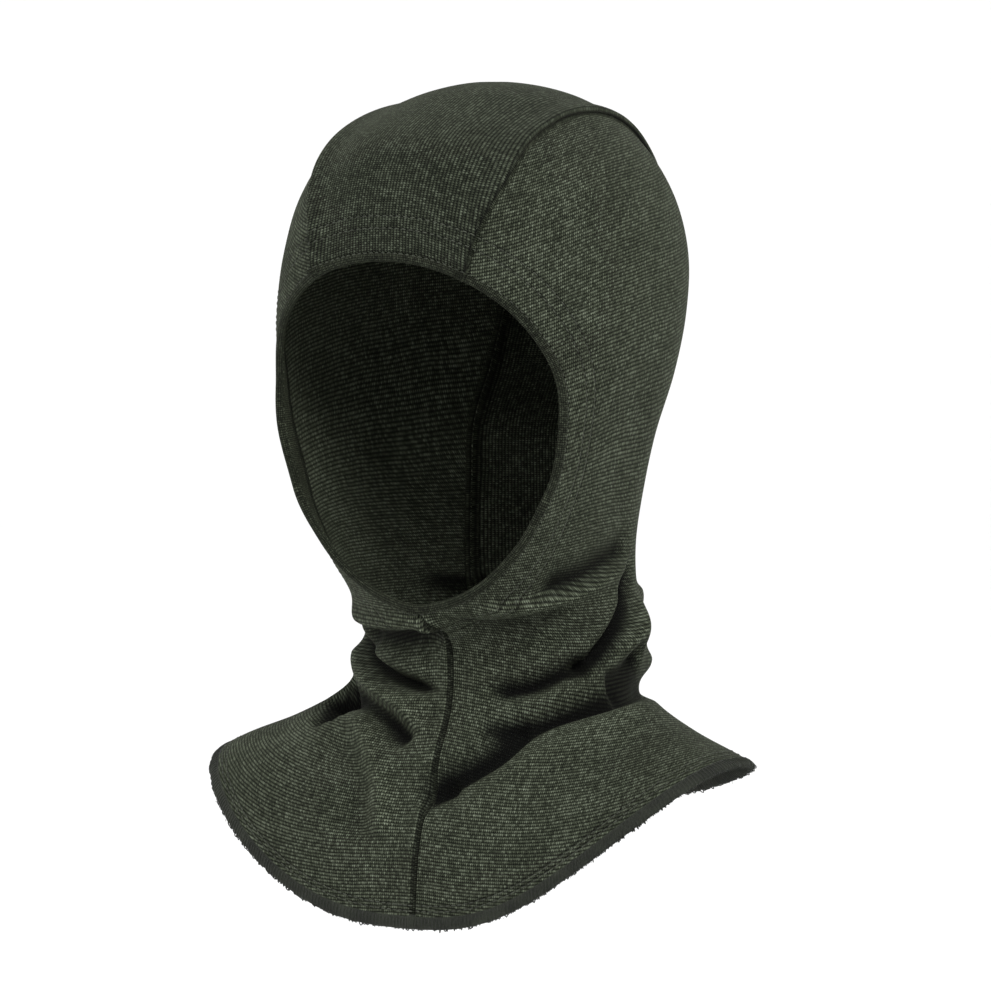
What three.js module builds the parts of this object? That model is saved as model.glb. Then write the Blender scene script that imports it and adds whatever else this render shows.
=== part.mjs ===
// Knitted hood: a close-fitting head covering with a face opening, a folded neck and a short shoulder cape.
// Millimetres, +Z up, the face towards -Y, the wearer's left towards +X. The origin is the inside of the
// crown's highest point, where the hood rests on a head.
import * as THREE from 'three';

// Head, from the crown's apex down to the chin
const HEAD_HEIGHT = 219;
const HEAD_HALF_WIDTH = 80.5;
const FACE_DEPTH = 92;
const SKULL_DEPTH = 91;

// Neck, below the chin
const NECK_HEIGHT = 42;
const NECK_HALF_WIDTH = 63;
const THROAT_DEPTH = 40;
const NAPE_DEPTH = 63;

// Cape, from the foot of the neck out over the shoulders
const CAPE_DROP = 26;
const SHOULDER_HALF_WIDTH = 128;
const CHEST_DEPTH = 69;
const BACK_DEPTH = 89;
const CHEST_DIP = 57.5;
const BACK_DIP = 18;

// How much of the form the hem is cut short by over each shoulder, and the level from which the cloth draws up
const LEFT_HEM_LIFT = 0.050;
const RIGHT_HEM_LIFT = 0.0165;
const LIFT_FROM = 0.8;

// Cut edge of the face opening: the forehead that is covered, and what is left beside the cheeks and the chin
const FOREHEAD_COVER = 69.4;
const CHEEK_COVER = 12.3;
const CHIN_COVER = 2.8;
const WIDEST_SHARE = 0.42;
const BROW_SQUARENESS = 2.2;
const JAW_SQUARENESS = 1.85;

// Panels and their seams
const CLOTH = 1.4;
const BROW_WIDTH = 72;
const CROWN_WIDTH = 91;
const CROWN_SHARE = 0.64;
const RING_REACH = 0.3;
const FRONT_SHIFT = 3.2;
const SHIFT_REACH = 0.03;
const SEAM_GAP = 0.3;
const CROWN_EDGE_RISE = 3.2;
const CROWN_EDGE_REACH = 7;
const FRONT_EDGE_RISE = 1.8;
const FRONT_EDGE_REACH = 5;

// Rolled face edge with its turned-in facing
const ROLL_WIDTH = 3.5;
const ROLL_HEIGHT = 1.9;
const FACING_WIDTH = 12.6;
const FACING_CLOTH = 1.0;
const FACING_GAP = 1.2;

// Section of the rolled edge as seen from the cut edge: way out as a share of ROLL_WIDTH, then height as a share
// of ROLL_HEIGHT or, below the cloth, of the facing's depth
const ROLL_PROFILE = [
  { out: 0.00, height: 0.80 },
  { out: 0.35, height: 1.00 },
  { out: 0.75, height: 0.75 },
  { out: 1.00, height: 0.15 },
  { out: 0.80, height: -0.75 },
  { out: 0.30, height: -1.00 },
];

// Overlocked lower edge. EDGE_STEP is the level over which it takes the cloth's direction.
const OVERLOCK_WIDTH = 3.2;
const OVERLOCK_PROUD = 0.5;
const OVERLOCK_WAIST = 0.45;
const OVERLOCK_END = 0.25;
const EDGE_STEP = 0.03;

// Folds
const FOLD_HEIGHT = 8;
const FOLD_WIDTH = 10;
const FOLD_STEPS = 5;
const FOLD_TAPER = 0.18;
const ROUND_FOLD = 2;

// Mesh density
const CROWN_COLUMNS = 6;
const CROWN_FRONT_ROWS = 9;
const SIDE_COLUMNS = 21;
const FRONT_CROWDING = 1.2;
const TOP_ROWS = 7;
const OPENING_ROWS = 18;
const NECK_ROWS = 24;

// Accuracy of the search for a level, and the smallest half section
const SEARCH_STEPS = 40;
const TINY = 1e-6;
const STEP = 1e-3;

// Power of the back half of every section, and of a section that is an ellipse
const BACK_SQUARE = 2;

const BROW_HALF = BROW_WIDTH / 2;
const CROWN_FLARE = (CROWN_WIDTH - BROW_WIDTH) / 2;
const HALF_GAP = SEAM_GAP / 2;
const FACE_HALF_WIDTH = HEAD_HALF_WIDTH - CHEEK_COVER;
const FACE_BOTTOM = HEAD_HEIGHT - CHIN_COVER;
const FACE_WIDEST = FOREHEAD_COVER + WIDEST_SHARE * (FACE_BOTTOM - FOREHEAD_COVER);

// Level sections of the head. drop is a share of HEAD_HEIGHT, side of HEAD_HALF_WIDTH, front of FACE_DEPTH,
// back and middle of SKULL_DEPTH. middle is where the section is widest, and square is the power of its front
// half: 2 is an ellipse, and more is squarer.
const HEAD_SECTIONS = [
  { drop: 0.000, side: 0.000, front: 0.000, back: 0.000, middle: 0.00, square: 2.0 },
  { drop: 0.012, side: 0.255, front: 0.240, back: 0.310, middle: 0.01, square: 2.0 },
  { drop: 0.046, side: 0.495, front: 0.480, back: 0.540, middle: 0.01, square: 2.0 },
  { drop: 0.114, side: 0.740, front: 0.800, back: 0.715, middle: 0.00, square: 2.1 },
  { drop: 0.210, side: 0.905, front: 0.930, back: 0.880, middle: -0.02, square: 2.2 },
  { drop: 0.320, side: 0.980, front: 0.965, back: 0.955, middle: -0.02, square: 2.4 },
  { drop: 0.434, side: 0.990, front: 0.955, back: 0.905, middle: -0.03, square: 2.7 },
  { drop: 0.548, side: 0.957, front: 0.945, back: 0.775, middle: -0.04, square: 3.0 },
  { drop: 0.662, side: 0.885, front: 1.005, back: 0.605, middle: -0.04, square: 3.5 },
  { drop: 0.767, side: 0.808, front: 1.000, back: 0.595, middle: -0.03, square: 3.2 },
  { drop: 0.868, side: 0.748, front: 0.865, back: 0.600, middle: -0.01, square: 2.5 },
  { drop: 0.950, side: 0.745, front: 0.730, back: 0.605, middle: 0.00, square: 1.9 },
  { drop: 1.000, side: 0.760, front: 0.625, back: 0.630, middle: 0.04, square: 1.75 },
];

// Sections of the neck. drop is a share of NECK_HEIGHT, side of NECK_HALF_WIDTH, front of THROAT_DEPTH,
// back and middle of NAPE_DEPTH, frontDip of CHEST_DIP and backDip of BACK_DIP.
const NECK_SECTIONS = [
  { drop: 0.24, side: 0.99, front: 1.06, back: 0.93, middle: 0.10, square: 1.8, frontDip: 0.03, backDip: 0.00 },
  { drop: 0.52, side: 0.99, front: 0.99, back: 0.94, middle: 0.08, square: 1.9, frontDip: 0.05, backDip: 0.00 },
  { drop: 0.79, side: 1.03, front: 1.02, back: 0.85, middle: 0.04, square: 2.0, frontDip: 0.07, backDip: 0.08 },
  { drop: 1.00, side: 1.18, front: 1.12, back: 0.88, middle: -0.03, square: 2.0, frontDip: 0.10, backDip: 0.15 },
];

// Sections of the cape. drop is a share of CAPE_DROP, side of SHOULDER_HALF_WIDTH, front of CHEST_DEPTH,
// back and middle of BACK_DEPTH, frontDip of CHEST_DIP and backDip of BACK_DIP.
const CAPE_SECTIONS = [
  { drop: 0.35, side: 0.715, front: 0.800, back: 0.720, middle: -0.05, square: 2.1, frontDip: 0.26, backDip: 0.38 },
  { drop: 0.69, side: 0.895, front: 0.975, back: 0.775, middle: -0.06, square: 2.2, frontDip: 0.59, backDip: 0.69 },
  { drop: 1.00, side: 1.010, front: 1.030, back: 0.830, middle: -0.065, square: 2.36, frontDip: 1.00, backDip: 1.00 },
];

// Folds of the cloth. path holds azimuth in degrees (0 the front, 90 the wearer's left) and level (0 the apex,
// 1 the hem). rise is a share of FOLD_HEIGHT, above and below are shares of FOLD_WIDTH on the path's two sides.
// sharp is the profile's power where it is not round: less makes a crease with a sharp bottom.
const FOLDS = [
  // Under the jaw, on the wearer's left: a deep valley, the crest below it and the crease under that
  { path: [[42, 0.580], [60, 0.573], [75, 0.557], [87, 0.547], [102, 0.532]],
    rise: -0.60, above: 1.1, below: 0.25 },
  { path: [[18, 0.612], [30, 0.600], [43, 0.597], [54, 0.592], [66, 0.576], [78, 0.562],
    [88, 0.551], [102, 0.540]],
    rise: 0.50, above: 0.25, below: 0.5 },
  { path: [[9, 0.630], [22, 0.643], [39, 0.638], [51, 0.618], [64, 0.593]],
    rise: -0.35, above: 0.3, below: 0.9 },
  // Down the side of the neck to the throat, on the wearer's left: a sharp crease and the roll behind it
  { path: [[58, 0.745], [68, 0.728], [75, 0.702], [81, 0.668], [90, 0.615], [95, 0.572], [108, 0.540]],
    rise: -1.05, above: 0.28, below: 0.75, sharp: 1.6 },
  { path: [[22, 0.772], [40, 0.770], [51, 0.760], [63, 0.740], [70, 0.724]],
    rise: -0.70, above: 0.55, below: 0.45, sharp: 1.7 },
  { path: [[20, 0.792], [47, 0.790], [57, 0.777], [68, 0.757], [79, 0.732], [89, 0.700],
    [100, 0.658], [116, 0.602]],
    rise: 0.60, above: 0.40, below: 0.8 },
  { path: [[76, 0.775], [88, 0.747], [101, 0.715]], rise: -0.75, above: 0.7, below: 0.7 },
  // Where the neck turns out into the cape, on the wearer's left
  { path: [[2, 0.924], [8, 0.912], [17, 0.902], [35, 0.880], [47, 0.851], [62, 0.826],
    [77, 0.810], [96, 0.798], [114, 0.804], [130, 0.812]],
    rise: -0.85, above: 0.9, below: 0.28, sharp: 1.7 },
  { path: [[4, 0.938], [25, 0.919], [37, 0.902], [47, 0.888], [60, 0.871], [72, 0.855],
    [87, 0.836], [112, 0.833]],
    rise: 0.35, above: 0.4, below: 1.3 },
  { path: [[24, 0.838], [36, 0.843], [49, 0.850]], rise: -0.40, above: 0.5, below: 0.5 },
  { path: [[0, 0.922], [8, 0.913], [18, 0.903]], rise: -0.55, above: 0.6, below: 0.4 },
  // Under the chin, on the wearer's right: the roll under the rim, the valley and the pillow
  { path: [[-64, 0.638], [-45, 0.646], [-26, 0.644], [-5, 0.636], [8, 0.646]],
    rise: 0.50, above: 0.5, below: 0.35 },
  { path: [[-68, 0.690], [-45, 0.690], [-25, 0.683], [-5, 0.668], [7, 0.662]],
    rise: -0.65, above: 0.35, below: 0.6 },
  { path: [[-58, 0.712], [-30, 0.722], [-6, 0.728]], rise: 0.30, above: 0.6, below: 0.5 },
  // The deep crease and the roll that comes out from under it, on the wearer's right
  { path: [[-84, 0.682], [-74, 0.705], [-62, 0.725], [-50, 0.744], [-37, 0.755], [-21, 0.763], [1, 0.776]],
    rise: -1.10, above: 0.28, below: 0.5, sharp: 1.6 },
  { path: [[-86, 0.700], [-72, 0.730], [-62, 0.747], [-46, 0.768], [-24, 0.786], [0, 0.797]],
    rise: 0.75, above: 0.35, below: 0.8 },
  { path: [[-64, 0.757], [-38, 0.797], [-17, 0.836], [2, 0.853]], rise: 0.35, above: 0.3, below: 0.35 },
  { path: [[-72, 0.797], [-52, 0.812], [-38, 0.826], [-24, 0.850], [-12, 0.866]],
    rise: -0.70, above: 0.4, below: 0.7 },
  // Pocket, ridge and hollow where the neck meets the cape, on the wearer's right
  { path: [[-82, 0.815], [-71, 0.840], [-62, 0.864]], rise: -1.7, above: 0.9, below: 0.8, sharp: 2.6 },
  { path: [[-60, 0.830], [-46, 0.858], [-33, 0.883], [-24, 0.902], [-16, 0.930], [-15, 0.950]],
    rise: 0.65, above: 0.6, below: 0.8 },
  { path: [[-60, 0.862], [-43, 0.886], [-31, 0.912], [-26, 0.934], [-26, 0.955]],
    rise: -0.75, above: 0.5, below: 0.9 },
  // Round the back of the neck
  { path: [[112, 0.600], [140, 0.615], [180, 0.620], [220, 0.610], [252, 0.590]],
    rise: 0.5, above: 0.5, below: 0.7 },
  { path: [[108, 0.655], [150, 0.680], [200, 0.685], [250, 0.668]],
    rise: -0.8, above: 0.35, below: 0.7, sharp: 1.7 },
  { path: [[104, 0.735], [150, 0.755], [210, 0.755], [262, 0.735]], rise: 0.6, above: 0.5, below: 0.8 },
  { path: [[115, 0.800], [150, 0.815], [180, 0.820], [215, 0.810], [250, 0.800]],
    rise: -0.6, above: 0.8, below: 0.35, sharp: 1.7 },
];

// Colours of the heathered knit, as the eye takes each piece
const KNIT_GREEN = new THREE.MeshStandardMaterial({ color: 0x474a3f, roughness: 0.95, metalness: 0 });
const KNIT_DARK = new THREE.MeshStandardMaterial({ color: 0x383b32, roughness: 0.95, metalness: 0 });
const THREAD_DARK = new THREE.MeshStandardMaterial({ color: 0x31342b, roughness: 0.98, metalness: 0 });

const smooth = (x) => {
  const s = THREE.MathUtils.clamp(x, 0, 1);
  return s * s * (3 - 2 * s);
};

const SECTION_KEYS = ['drop', 'side', 'front', 'back', 'middle', 'square', 'frontDip', 'backDip'];

// One section in millimetres, from its shares and the sizes that they follow
function section(row, top, height, halfWidth, front, back) {
  return {
    drop: top + row.drop * height,
    side: row.side * halfWidth,
    front: row.front * front,
    back: row.back * back,
    middle: row.middle * back,
    square: row.square,
    frontDip: (row.frontDip ?? 0) * CHEST_DIP,
    backDip: (row.backDip ?? 0) * BACK_DIP,
  };
}

const SECTIONS = [
  ...HEAD_SECTIONS.map((row) => section(row, 0, HEAD_HEIGHT, HEAD_HALF_WIDTH, FACE_DEPTH, SKULL_DEPTH)),
  ...NECK_SECTIONS.map((row) => section(row, HEAD_HEIGHT, NECK_HEIGHT, NECK_HALF_WIDTH, THROAT_DEPTH, NAPE_DEPTH)),
  ...CAPE_SECTIONS.map((row) => section(
    row, HEAD_HEIGHT + NECK_HEIGHT, CAPE_DROP, SHOULDER_HALF_WIDTH, CHEST_DEPTH, BACK_DEPTH)),
];

// The section before the apex is its neighbour turned over, so the crown closes round and not to a point
const BEFORE_APEX = { ...SECTIONS[1], side: -SECTIONS[1].side, front: -SECTIONS[1].front, back: -SECTIONS[1].back };

// Section at a level, on a smooth curve through the table
function sectionAt(level) {
  const last = SECTIONS.length - 1;
  const place = THREE.MathUtils.clamp(level, 0, 1) * last;
  const index = Math.min(Math.floor(place), last - 1);
  const f = place - index;
  const a = index > 0 ? SECTIONS[index - 1] : BEFORE_APEX;
  const b = SECTIONS[index];
  const c = SECTIONS[index + 1];
  const d = SECTIONS[index + 2];
  const result = {};
  for (const key of SECTION_KEYS) {
    const after = d ? d[key] : 2 * c[key] - b[key];
    result[key] = 0.5 * (2 * b[key] + (c[key] - a[key]) * f
      + (2 * a[key] - 5 * b[key] + 4 * c[key] - after) * f * f
      + (3 * b[key] - a[key] - 3 * c[key] + after) * f * f * f);
  }
  return result;
}

// Depth of a section from its widest line, towards the front or the back
const depthOf = (s, atBack) => Math.max(atBack ? s.back - s.middle : s.front + s.middle, TINY);

// How far the hem is drawn up at an azimuth, as a level
function hemLift(sine, level) {
  const most = sine > 0 ? LEFT_HEM_LIFT : RIGHT_HEM_LIFT;
  return most * sine ** 4 * THREE.MathUtils.clamp((level - LIFT_FROM) / (1 - LIFT_FROM), 0, 1) ** 2;
}

// Point of the smooth form. Azimuth is in radians, 0 at the front and a quarter turn at the wearer's left.
function formPoint(azimuth, level) {
  const sine = Math.sin(azimuth);
  const cosine = Math.cos(azimuth);
  const s = sectionAt(level - hemLift(sine, level));
  const atBack = cosine <= 0;
  const depth = depthOf(s, atBack);
  const side = Math.max(s.side, TINY);
  const square = atBack ? BACK_SQUARE : s.square;
  const radius = (Math.abs(cosine / depth) ** square + Math.abs(sine / side) ** square) ** (-1 / square);
  const dip = (atBack ? s.backDip : s.frontDip) * (radius * Math.abs(cosine) / depth) ** square;
  return new THREE.Vector3(radius * sine, s.middle - radius * cosine, -s.drop - dip);
}

// Directions along the form at a point: round the body, down the body, and out of the cloth
function formFrame(azimuth, level) {
  const here = THREE.MathUtils.clamp(level, 2 * STEP, 1 - 2 * STEP);
  const round = formPoint(azimuth + STEP, here).sub(formPoint(azimuth - STEP, here)).divideScalar(2 * STEP);
  const down = formPoint(azimuth, here + STEP).sub(formPoint(azimuth, here - STEP)).divideScalar(2 * STEP);
  const out = new THREE.Vector3().crossVectors(down, round).normalize();
  return { round, down, out };
}

// Level between 0 and high up to which a test holds
function lastLevel(high, holds) {
  let low = 0;
  let top = high;
  for (let i = 0; i < SEARCH_STEPS; i += 1) {
    const middle = (low + top) / 2;
    if (holds(middle)) low = middle;
    else top = middle;
  }
  return (low + top) / 2;
}

// Level whose section lies a given drop below the apex
const levelOfDrop = (drop) => lastLevel(1, (level) => sectionAt(level).drop < drop);

// Upper edge of the face opening over a given x
function browDrop(x) {
  const share = Math.max(0, 1 - Math.abs(x / FACE_HALF_WIDTH) ** BROW_SQUARENESS) ** (1 / BROW_SQUARENESS);
  return FACE_WIDEST - (FACE_WIDEST - FOREHEAD_COVER) * share;
}

const CORNER_LEVEL = levelOfDrop(browDrop(BROW_HALF));
const CHIN_LEVEL = levelOfDrop(FACE_BOTTOM);

// Azimuth at which a section reaches a given x, in its front or back half
function azimuthOfX(x, level, atBack) {
  const s = sectionAt(level);
  const square = atBack ? BACK_SQUARE : s.square;
  const share = Math.max(0, 1 - Math.abs(x / Math.max(s.side, TINY)) ** square) ** (1 / square);
  const along = depthOf(s, atBack) * share;
  return Math.atan2(x, atBack ? -along : along);
}

// Half the crown strip's width, which swells over the crown from its width at the brow
function halfAt(level) {
  const full = CROWN_SHARE * CORNER_LEVEL;
  return BROW_HALF + CROWN_FLARE * (1 - smooth((level - full) / (CORNER_LEVEL - full)));
}

// Level of the highest section that is as wide as the crown strip
const TOP_LEVEL = lastLevel(CORNER_LEVEL, (level) => sectionAt(level).side < halfAt(level));

// Where the front seam runs: from the chin's middle over to the wearer's left, and straight on down
const frontSeamX = (level) => FRONT_SHIFT * smooth((level - CHIN_LEVEL) / SHIFT_REACH);

// Fold paths as points on the form
const FOLD_CURVES = FOLDS.map((fold) => {
  const curve = new THREE.CatmullRomCurve3(fold.path.map(([degrees, level]) => (
    new THREE.Vector3(THREE.MathUtils.degToRad(degrees), level, 0))));
  const steps = FOLD_STEPS * (fold.path.length - 1);
  const points = curve.getPoints(steps).map((p) => formPoint(p.x, p.y));
  return { ...fold, points, steps };
});

// Height of one fold over a point of the form
function foldHeight(fold, point, out) {
  let nearest = Infinity;
  let along = 0;
  let side = 0;
  for (let i = 0; i < fold.steps; i += 1) {
    const start = fold.points[i];
    const run = new THREE.Vector3().subVectors(fold.points[i + 1], start);
    const away = new THREE.Vector3().subVectors(point, start);
    const share = THREE.MathUtils.clamp(away.dot(run) / run.lengthSq(), 0, 1);
    away.addScaledVector(run, -share);
    const distance = away.length();
    if (distance < nearest) {
      nearest = distance;
      along = (i + share) / fold.steps;
      side = new THREE.Vector3().crossVectors(out, run).dot(away);
    }
  }
  const width = FOLD_WIDTH * (side > 0 ? fold.above : fold.below);
  const taper = smooth(along / FOLD_TAPER) * smooth((1 - along) / FOLD_TAPER);
  return FOLD_HEIGHT * fold.rise * taper * Math.exp(-((nearest / width) ** (fold.sharp ?? ROUND_FOLD)));
}

// How far a panel's edge stands up along its seams: the crown strip all along, the right side down the front
function edgeRise(piece, point, level) {
  if (piece === 'crown') {
    const inside = Math.max(halfAt(level) - Math.abs(point.x), 0);
    return CROWN_EDGE_RISE * Math.exp(-((inside / CROWN_EDGE_REACH) ** 2));
  }
  if (piece === 'right' && point.y < 0) {
    const below = smooth((-point.z - FACE_BOTTOM) / FRONT_EDGE_REACH);
    return FRONT_EDGE_RISE * below * Math.exp(-(((point.x - frontSeamX(level)) / FRONT_EDGE_REACH) ** 2));
  }
  return 0;
}

// Point of a panel: height 0 is its inner face, CLOTH its outer face
function clothPoint(piece, azimuth, level, height) {
  const point = formPoint(azimuth, level);
  const { out } = formFrame(azimuth, level);
  let lift = height + edgeRise(piece, point, level);
  for (const fold of FOLD_CURVES) lift += foldHeight(fold, point, out);
  return point.addScaledVector(out, lift);
}

// Place beside the crown seam: reach is 0 over the apex and 1 at the hem, offset is the way out from the seam
function seamPlace(offset, reach, atBack) {
  const run = reach * Math.sqrt(1 - TOP_LEVEL * TOP_LEVEL);
  const level = Math.hypot(TOP_LEVEL, run);
  return { azimuth: azimuthOfX(halfAt(level) + offset, level, atBack), level };
}

// Reach along the crown seam of a given level
const reachOfLevel = (level) => (
  Math.sqrt(Math.max(level * level - TOP_LEVEL * TOP_LEVEL, 0) / (1 - TOP_LEVEL * TOP_LEVEL)));

// Angle round the face opening at which its edge meets the crown seam
const cornerAngle = (half) => Math.asin((half / FACE_HALF_WIDTH) ** (BROW_SQUARENESS / 2));

// Place on the face opening's edge. Angle 0 is the brow's middle and half a turn the chin.
function openingPlace(angle) {
  const above = angle < Math.PI / 2;
  const power = 2 / (above ? BROW_SQUARENESS : JAW_SQUARENESS);
  const x = Math.max(FACE_HALF_WIDTH * Math.max(Math.sin(angle), 0) ** power, HALF_GAP);
  const reach = Math.abs(Math.cos(angle)) ** power;
  const height = above ? FACE_WIDEST - FOREHEAD_COVER : FACE_BOTTOM - FACE_WIDEST;
  const level = levelOfDrop(FACE_WIDEST + (above ? -reach : reach) * height);
  return { azimuth: azimuthOfX(x, level, false), level };
}

// Place on the crown strip. across runs from -1 to 1, and along from -1 at the brow over 0 at the apex to 1 at
// the hem.
function crownPlace(across, along) {
  const atBack = along >= 0;
  const reach = atBack ? along : -along * reachOfLevel(CORNER_LEVEL);
  const end = seamPlace(-HALF_GAP, reach, atBack);
  const a = across * end.level * Math.sin(end.azimuth);
  const b = end.level * Math.cos(end.azimuth);
  const ring = smooth(reach / RING_REACH);
  let level = Math.sqrt((1 - ring) * (a * a + b * b) + ring * end.level * end.level);
  const forward = Math.sqrt(Math.max(level * level - a * a, 0));
  const azimuth = Math.atan2(a, atBack ? -forward : forward);
  if (!atBack) {
    const x = BROW_HALF * Math.abs(across);
    level += (levelOfDrop(browDrop(x)) - CORNER_LEVEL) * smooth(-along * 2 - 1);
  }
  return { azimuth, level };
}

// Front and back ends of a side panel's rows, from the top of the crown seam to the hem, as on the wearer's left.
// sign is 1 for the left panel and -1 for the right one.
function sideRows(sign) {
  const corner = cornerAngle(BROW_HALF + HALF_GAP);
  const cornerReach = reachOfLevel(CORNER_LEVEL);
  const chinReach = reachOfLevel(CHIN_LEVEL);
  const rows = [];
  for (let i = 0; i < TOP_ROWS; i += 1) {
    const reach = cornerReach * i / TOP_ROWS;
    rows.push({ front: seamPlace(HALF_GAP, reach, false), back: seamPlace(HALF_GAP, reach, true) });
  }
  for (let i = 0; i < OPENING_ROWS; i += 1) {
    const share = i / OPENING_ROWS;
    rows.push({
      front: openingPlace(THREE.MathUtils.lerp(corner, Math.PI, share)),
      back: seamPlace(HALF_GAP, THREE.MathUtils.lerp(cornerReach, chinReach, share), true),
    });
  }
  for (let i = 0; i <= NECK_ROWS; i += 1) {
    const level = THREE.MathUtils.lerp(CHIN_LEVEL, 1, i / NECK_ROWS);
    rows.push({
      front: { azimuth: azimuthOfX(HALF_GAP + sign * frontSeamX(level), level, false), level },
      back: seamPlace(HALF_GAP, reachOfLevel(level), true),
    });
  }
  return rows;
}

// Place in a row of a side panel, its columns closer together towards the front
function sidePlace(row, column) {
  const share = (column / SIDE_COLUMNS) ** FRONT_CROWDING;
  return {
    azimuth: THREE.MathUtils.lerp(row.front.azimuth, row.back.azimuth, share),
    level: THREE.MathUtils.lerp(row.front.level, row.back.level, share),
  };
}

// Geometry from points and triangles
function geometryOf(points, triangles) {
  const geometry = new THREE.BufferGeometry();
  geometry.setAttribute('position', new THREE.Float32BufferAttribute(points.flatMap((p) => p.toArray()), 3));
  geometry.setIndex(triangles.flat());
  return geometry;
}

// Closed wall of cloth between an outer and an inner grid of points. pinched joins the first row into one point.
function wallGeometry(outer, inner, turned, pinched) {
  const rows = outer.length;
  const columns = outer[0].length;
  const last = columns - 1;
  const points = [...outer.flat(), ...inner.flat()];
  const index = (face, row, column) => (
    (face * rows + row) * columns + (pinched && row === 0 ? 0 : column));
  const triangles = [];
  const quad = (a, b, c, d) => {
    for (const triangle of [[a, b, c], [a, c, d]]) {
      if (new Set(triangle).size === 3) triangles.push(turned ? triangle.reverse() : triangle);
    }
  };
  for (let r = 0; r + 1 < rows; r += 1) {
    for (let c = 0; c + 1 < columns; c += 1) {
      quad(index(0, r, c), index(0, r + 1, c), index(0, r + 1, c + 1), index(0, r, c + 1));
      quad(index(1, r, c), index(1, r, c + 1), index(1, r + 1, c + 1), index(1, r + 1, c));
    }
    quad(index(0, r, 0), index(1, r, 0), index(1, r + 1, 0), index(0, r + 1, 0));
    quad(index(0, r + 1, last), index(1, r + 1, last), index(1, r, last), index(0, r, last));
  }
  for (let c = 0; c + 1 < columns; c += 1) {
    quad(index(0, 0, c + 1), index(1, 0, c + 1), index(1, 0, c), index(0, 0, c));
    quad(index(0, rows - 1, c), index(1, rows - 1, c), index(1, rows - 1, c + 1), index(0, rows - 1, c + 1));
  }
  return geometryOf(points, triangles);
}

// Closed ring from a loop of sections, each a loop of points
function ringGeometry(sections) {
  const count = sections.length;
  const sides = sections[0].length;
  const index = (i, j) => (i % count) * sides + (j % sides);
  const triangles = [];
  for (let i = 0; i < count; i += 1) {
    for (let j = 0; j < sides; j += 1) {
      const a = index(i, j);
      const b = index(i, j + 1);
      const c = index(i + 1, j + 1);
      const d = index(i + 1, j);
      triangles.push([a, b, c], [a, c, d]);
    }
  }
  return geometryOf(sections.flat(), triangles);
}

// Row of places across the crown strip
const crownRow = (along) => (
  Array.from({ length: CROWN_COLUMNS + 1 }, (_, c) => crownPlace(2 * c / CROWN_COLUMNS - 1, along)));

// Strip from the brow over the crown and down the back
function crownPanel() {
  const places = [];
  for (let r = -CROWN_FRONT_ROWS; r < 0; r += 1) places.push(crownRow(r / CROWN_FRONT_ROWS));
  for (const row of sideRows(1)) places.push(crownRow(reachOfLevel(row.back.level)));
  const grid = (height) => places.map((row) => row.map((p) => clothPoint('crown', p.azimuth, p.level, height)));
  return wallGeometry(grid(CLOTH), grid(0), true, false);
}

// Side panel of the wearer's left or right
function sidePanel(piece) {
  const sign = piece === 'left' ? 1 : -1;
  const places = sideRows(sign).map((row) => (
    Array.from({ length: SIDE_COLUMNS + 1 }, (_, c) => sidePlace(row, c))));
  const grid = (height) => places.map((row) => row.map((p) => (
    clothPoint(piece, sign * p.azimuth, p.level, height))));
  return wallGeometry(grid(CLOTH), grid(0), sign < 0, true);
}

// Places round the cut edge of the face opening, from the brow's middle round the wearer's left
function openingLoop() {
  const loop = [];
  for (const place of crownRow(-1).slice(1, -1)) loop.push({ ...place, piece: 'crown' });
  const corner = cornerAngle(BROW_HALF);
  const half = Array.from({ length: OPENING_ROWS }, (_, i) => (
    openingPlace(THREE.MathUtils.lerp(corner, Math.PI, i / OPENING_ROWS))));
  for (const place of half) loop.push({ ...place, piece: 'left' });
  loop.push({ azimuth: 0, level: CHIN_LEVEL, piece: 'left' });
  for (const place of half.reverse()) loop.push({ ...place, azimuth: -place.azimuth, piece: 'right' });
  return loop;
}

// Rolled edge and facing. Each corner gives its way out from the cut edge into the cloth, and its height over
// the cloth's inner face.
function faceHem() {
  const loop = openingLoop();
  const under = -FACING_GAP;
  const deep = under - FACING_CLOTH;
  const lip = -SEAM_GAP;
  const roll = ROLL_PROFILE.map((p) => (
    [lip - ROLL_WIDTH * p.out, p.height * (p.height > 0 ? ROLL_HEIGHT : -deep)]));
  const corners = [
    [FACING_WIDTH, deep], [FACING_WIDTH, under], [FACING_WIDTH / 2, under], [lip, under], ...roll,
    [FACING_WIDTH / 2, deep],
  ];
  const sections = loop.map((place, i) => {
    const before = loop[(i + loop.length - 1) % loop.length];
    const after = loop[(i + 1) % loop.length];
    const { round, down, out } = formFrame(place.azimuth, place.level);
    const run = formPoint(after.azimuth, after.level).sub(formPoint(before.azimuth, before.level));
    const inward = new THREE.Vector3().crossVectors(out, run).normalize();
    const rr = round.dot(round);
    const rd = round.dot(down);
    const dd = down.dot(down);
    const area = rr * dd - rd * rd;
    const turn = (inward.dot(round) * dd - inward.dot(down) * rd) / area;
    const fall = (inward.dot(down) * rr - inward.dot(round) * rd) / area;
    return corners.map(([reach, height]) => (
      clothPoint('hem', place.azimuth + turn * reach, place.level + fall * reach, height)));
  });
  return ringGeometry(sections);
}

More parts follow.
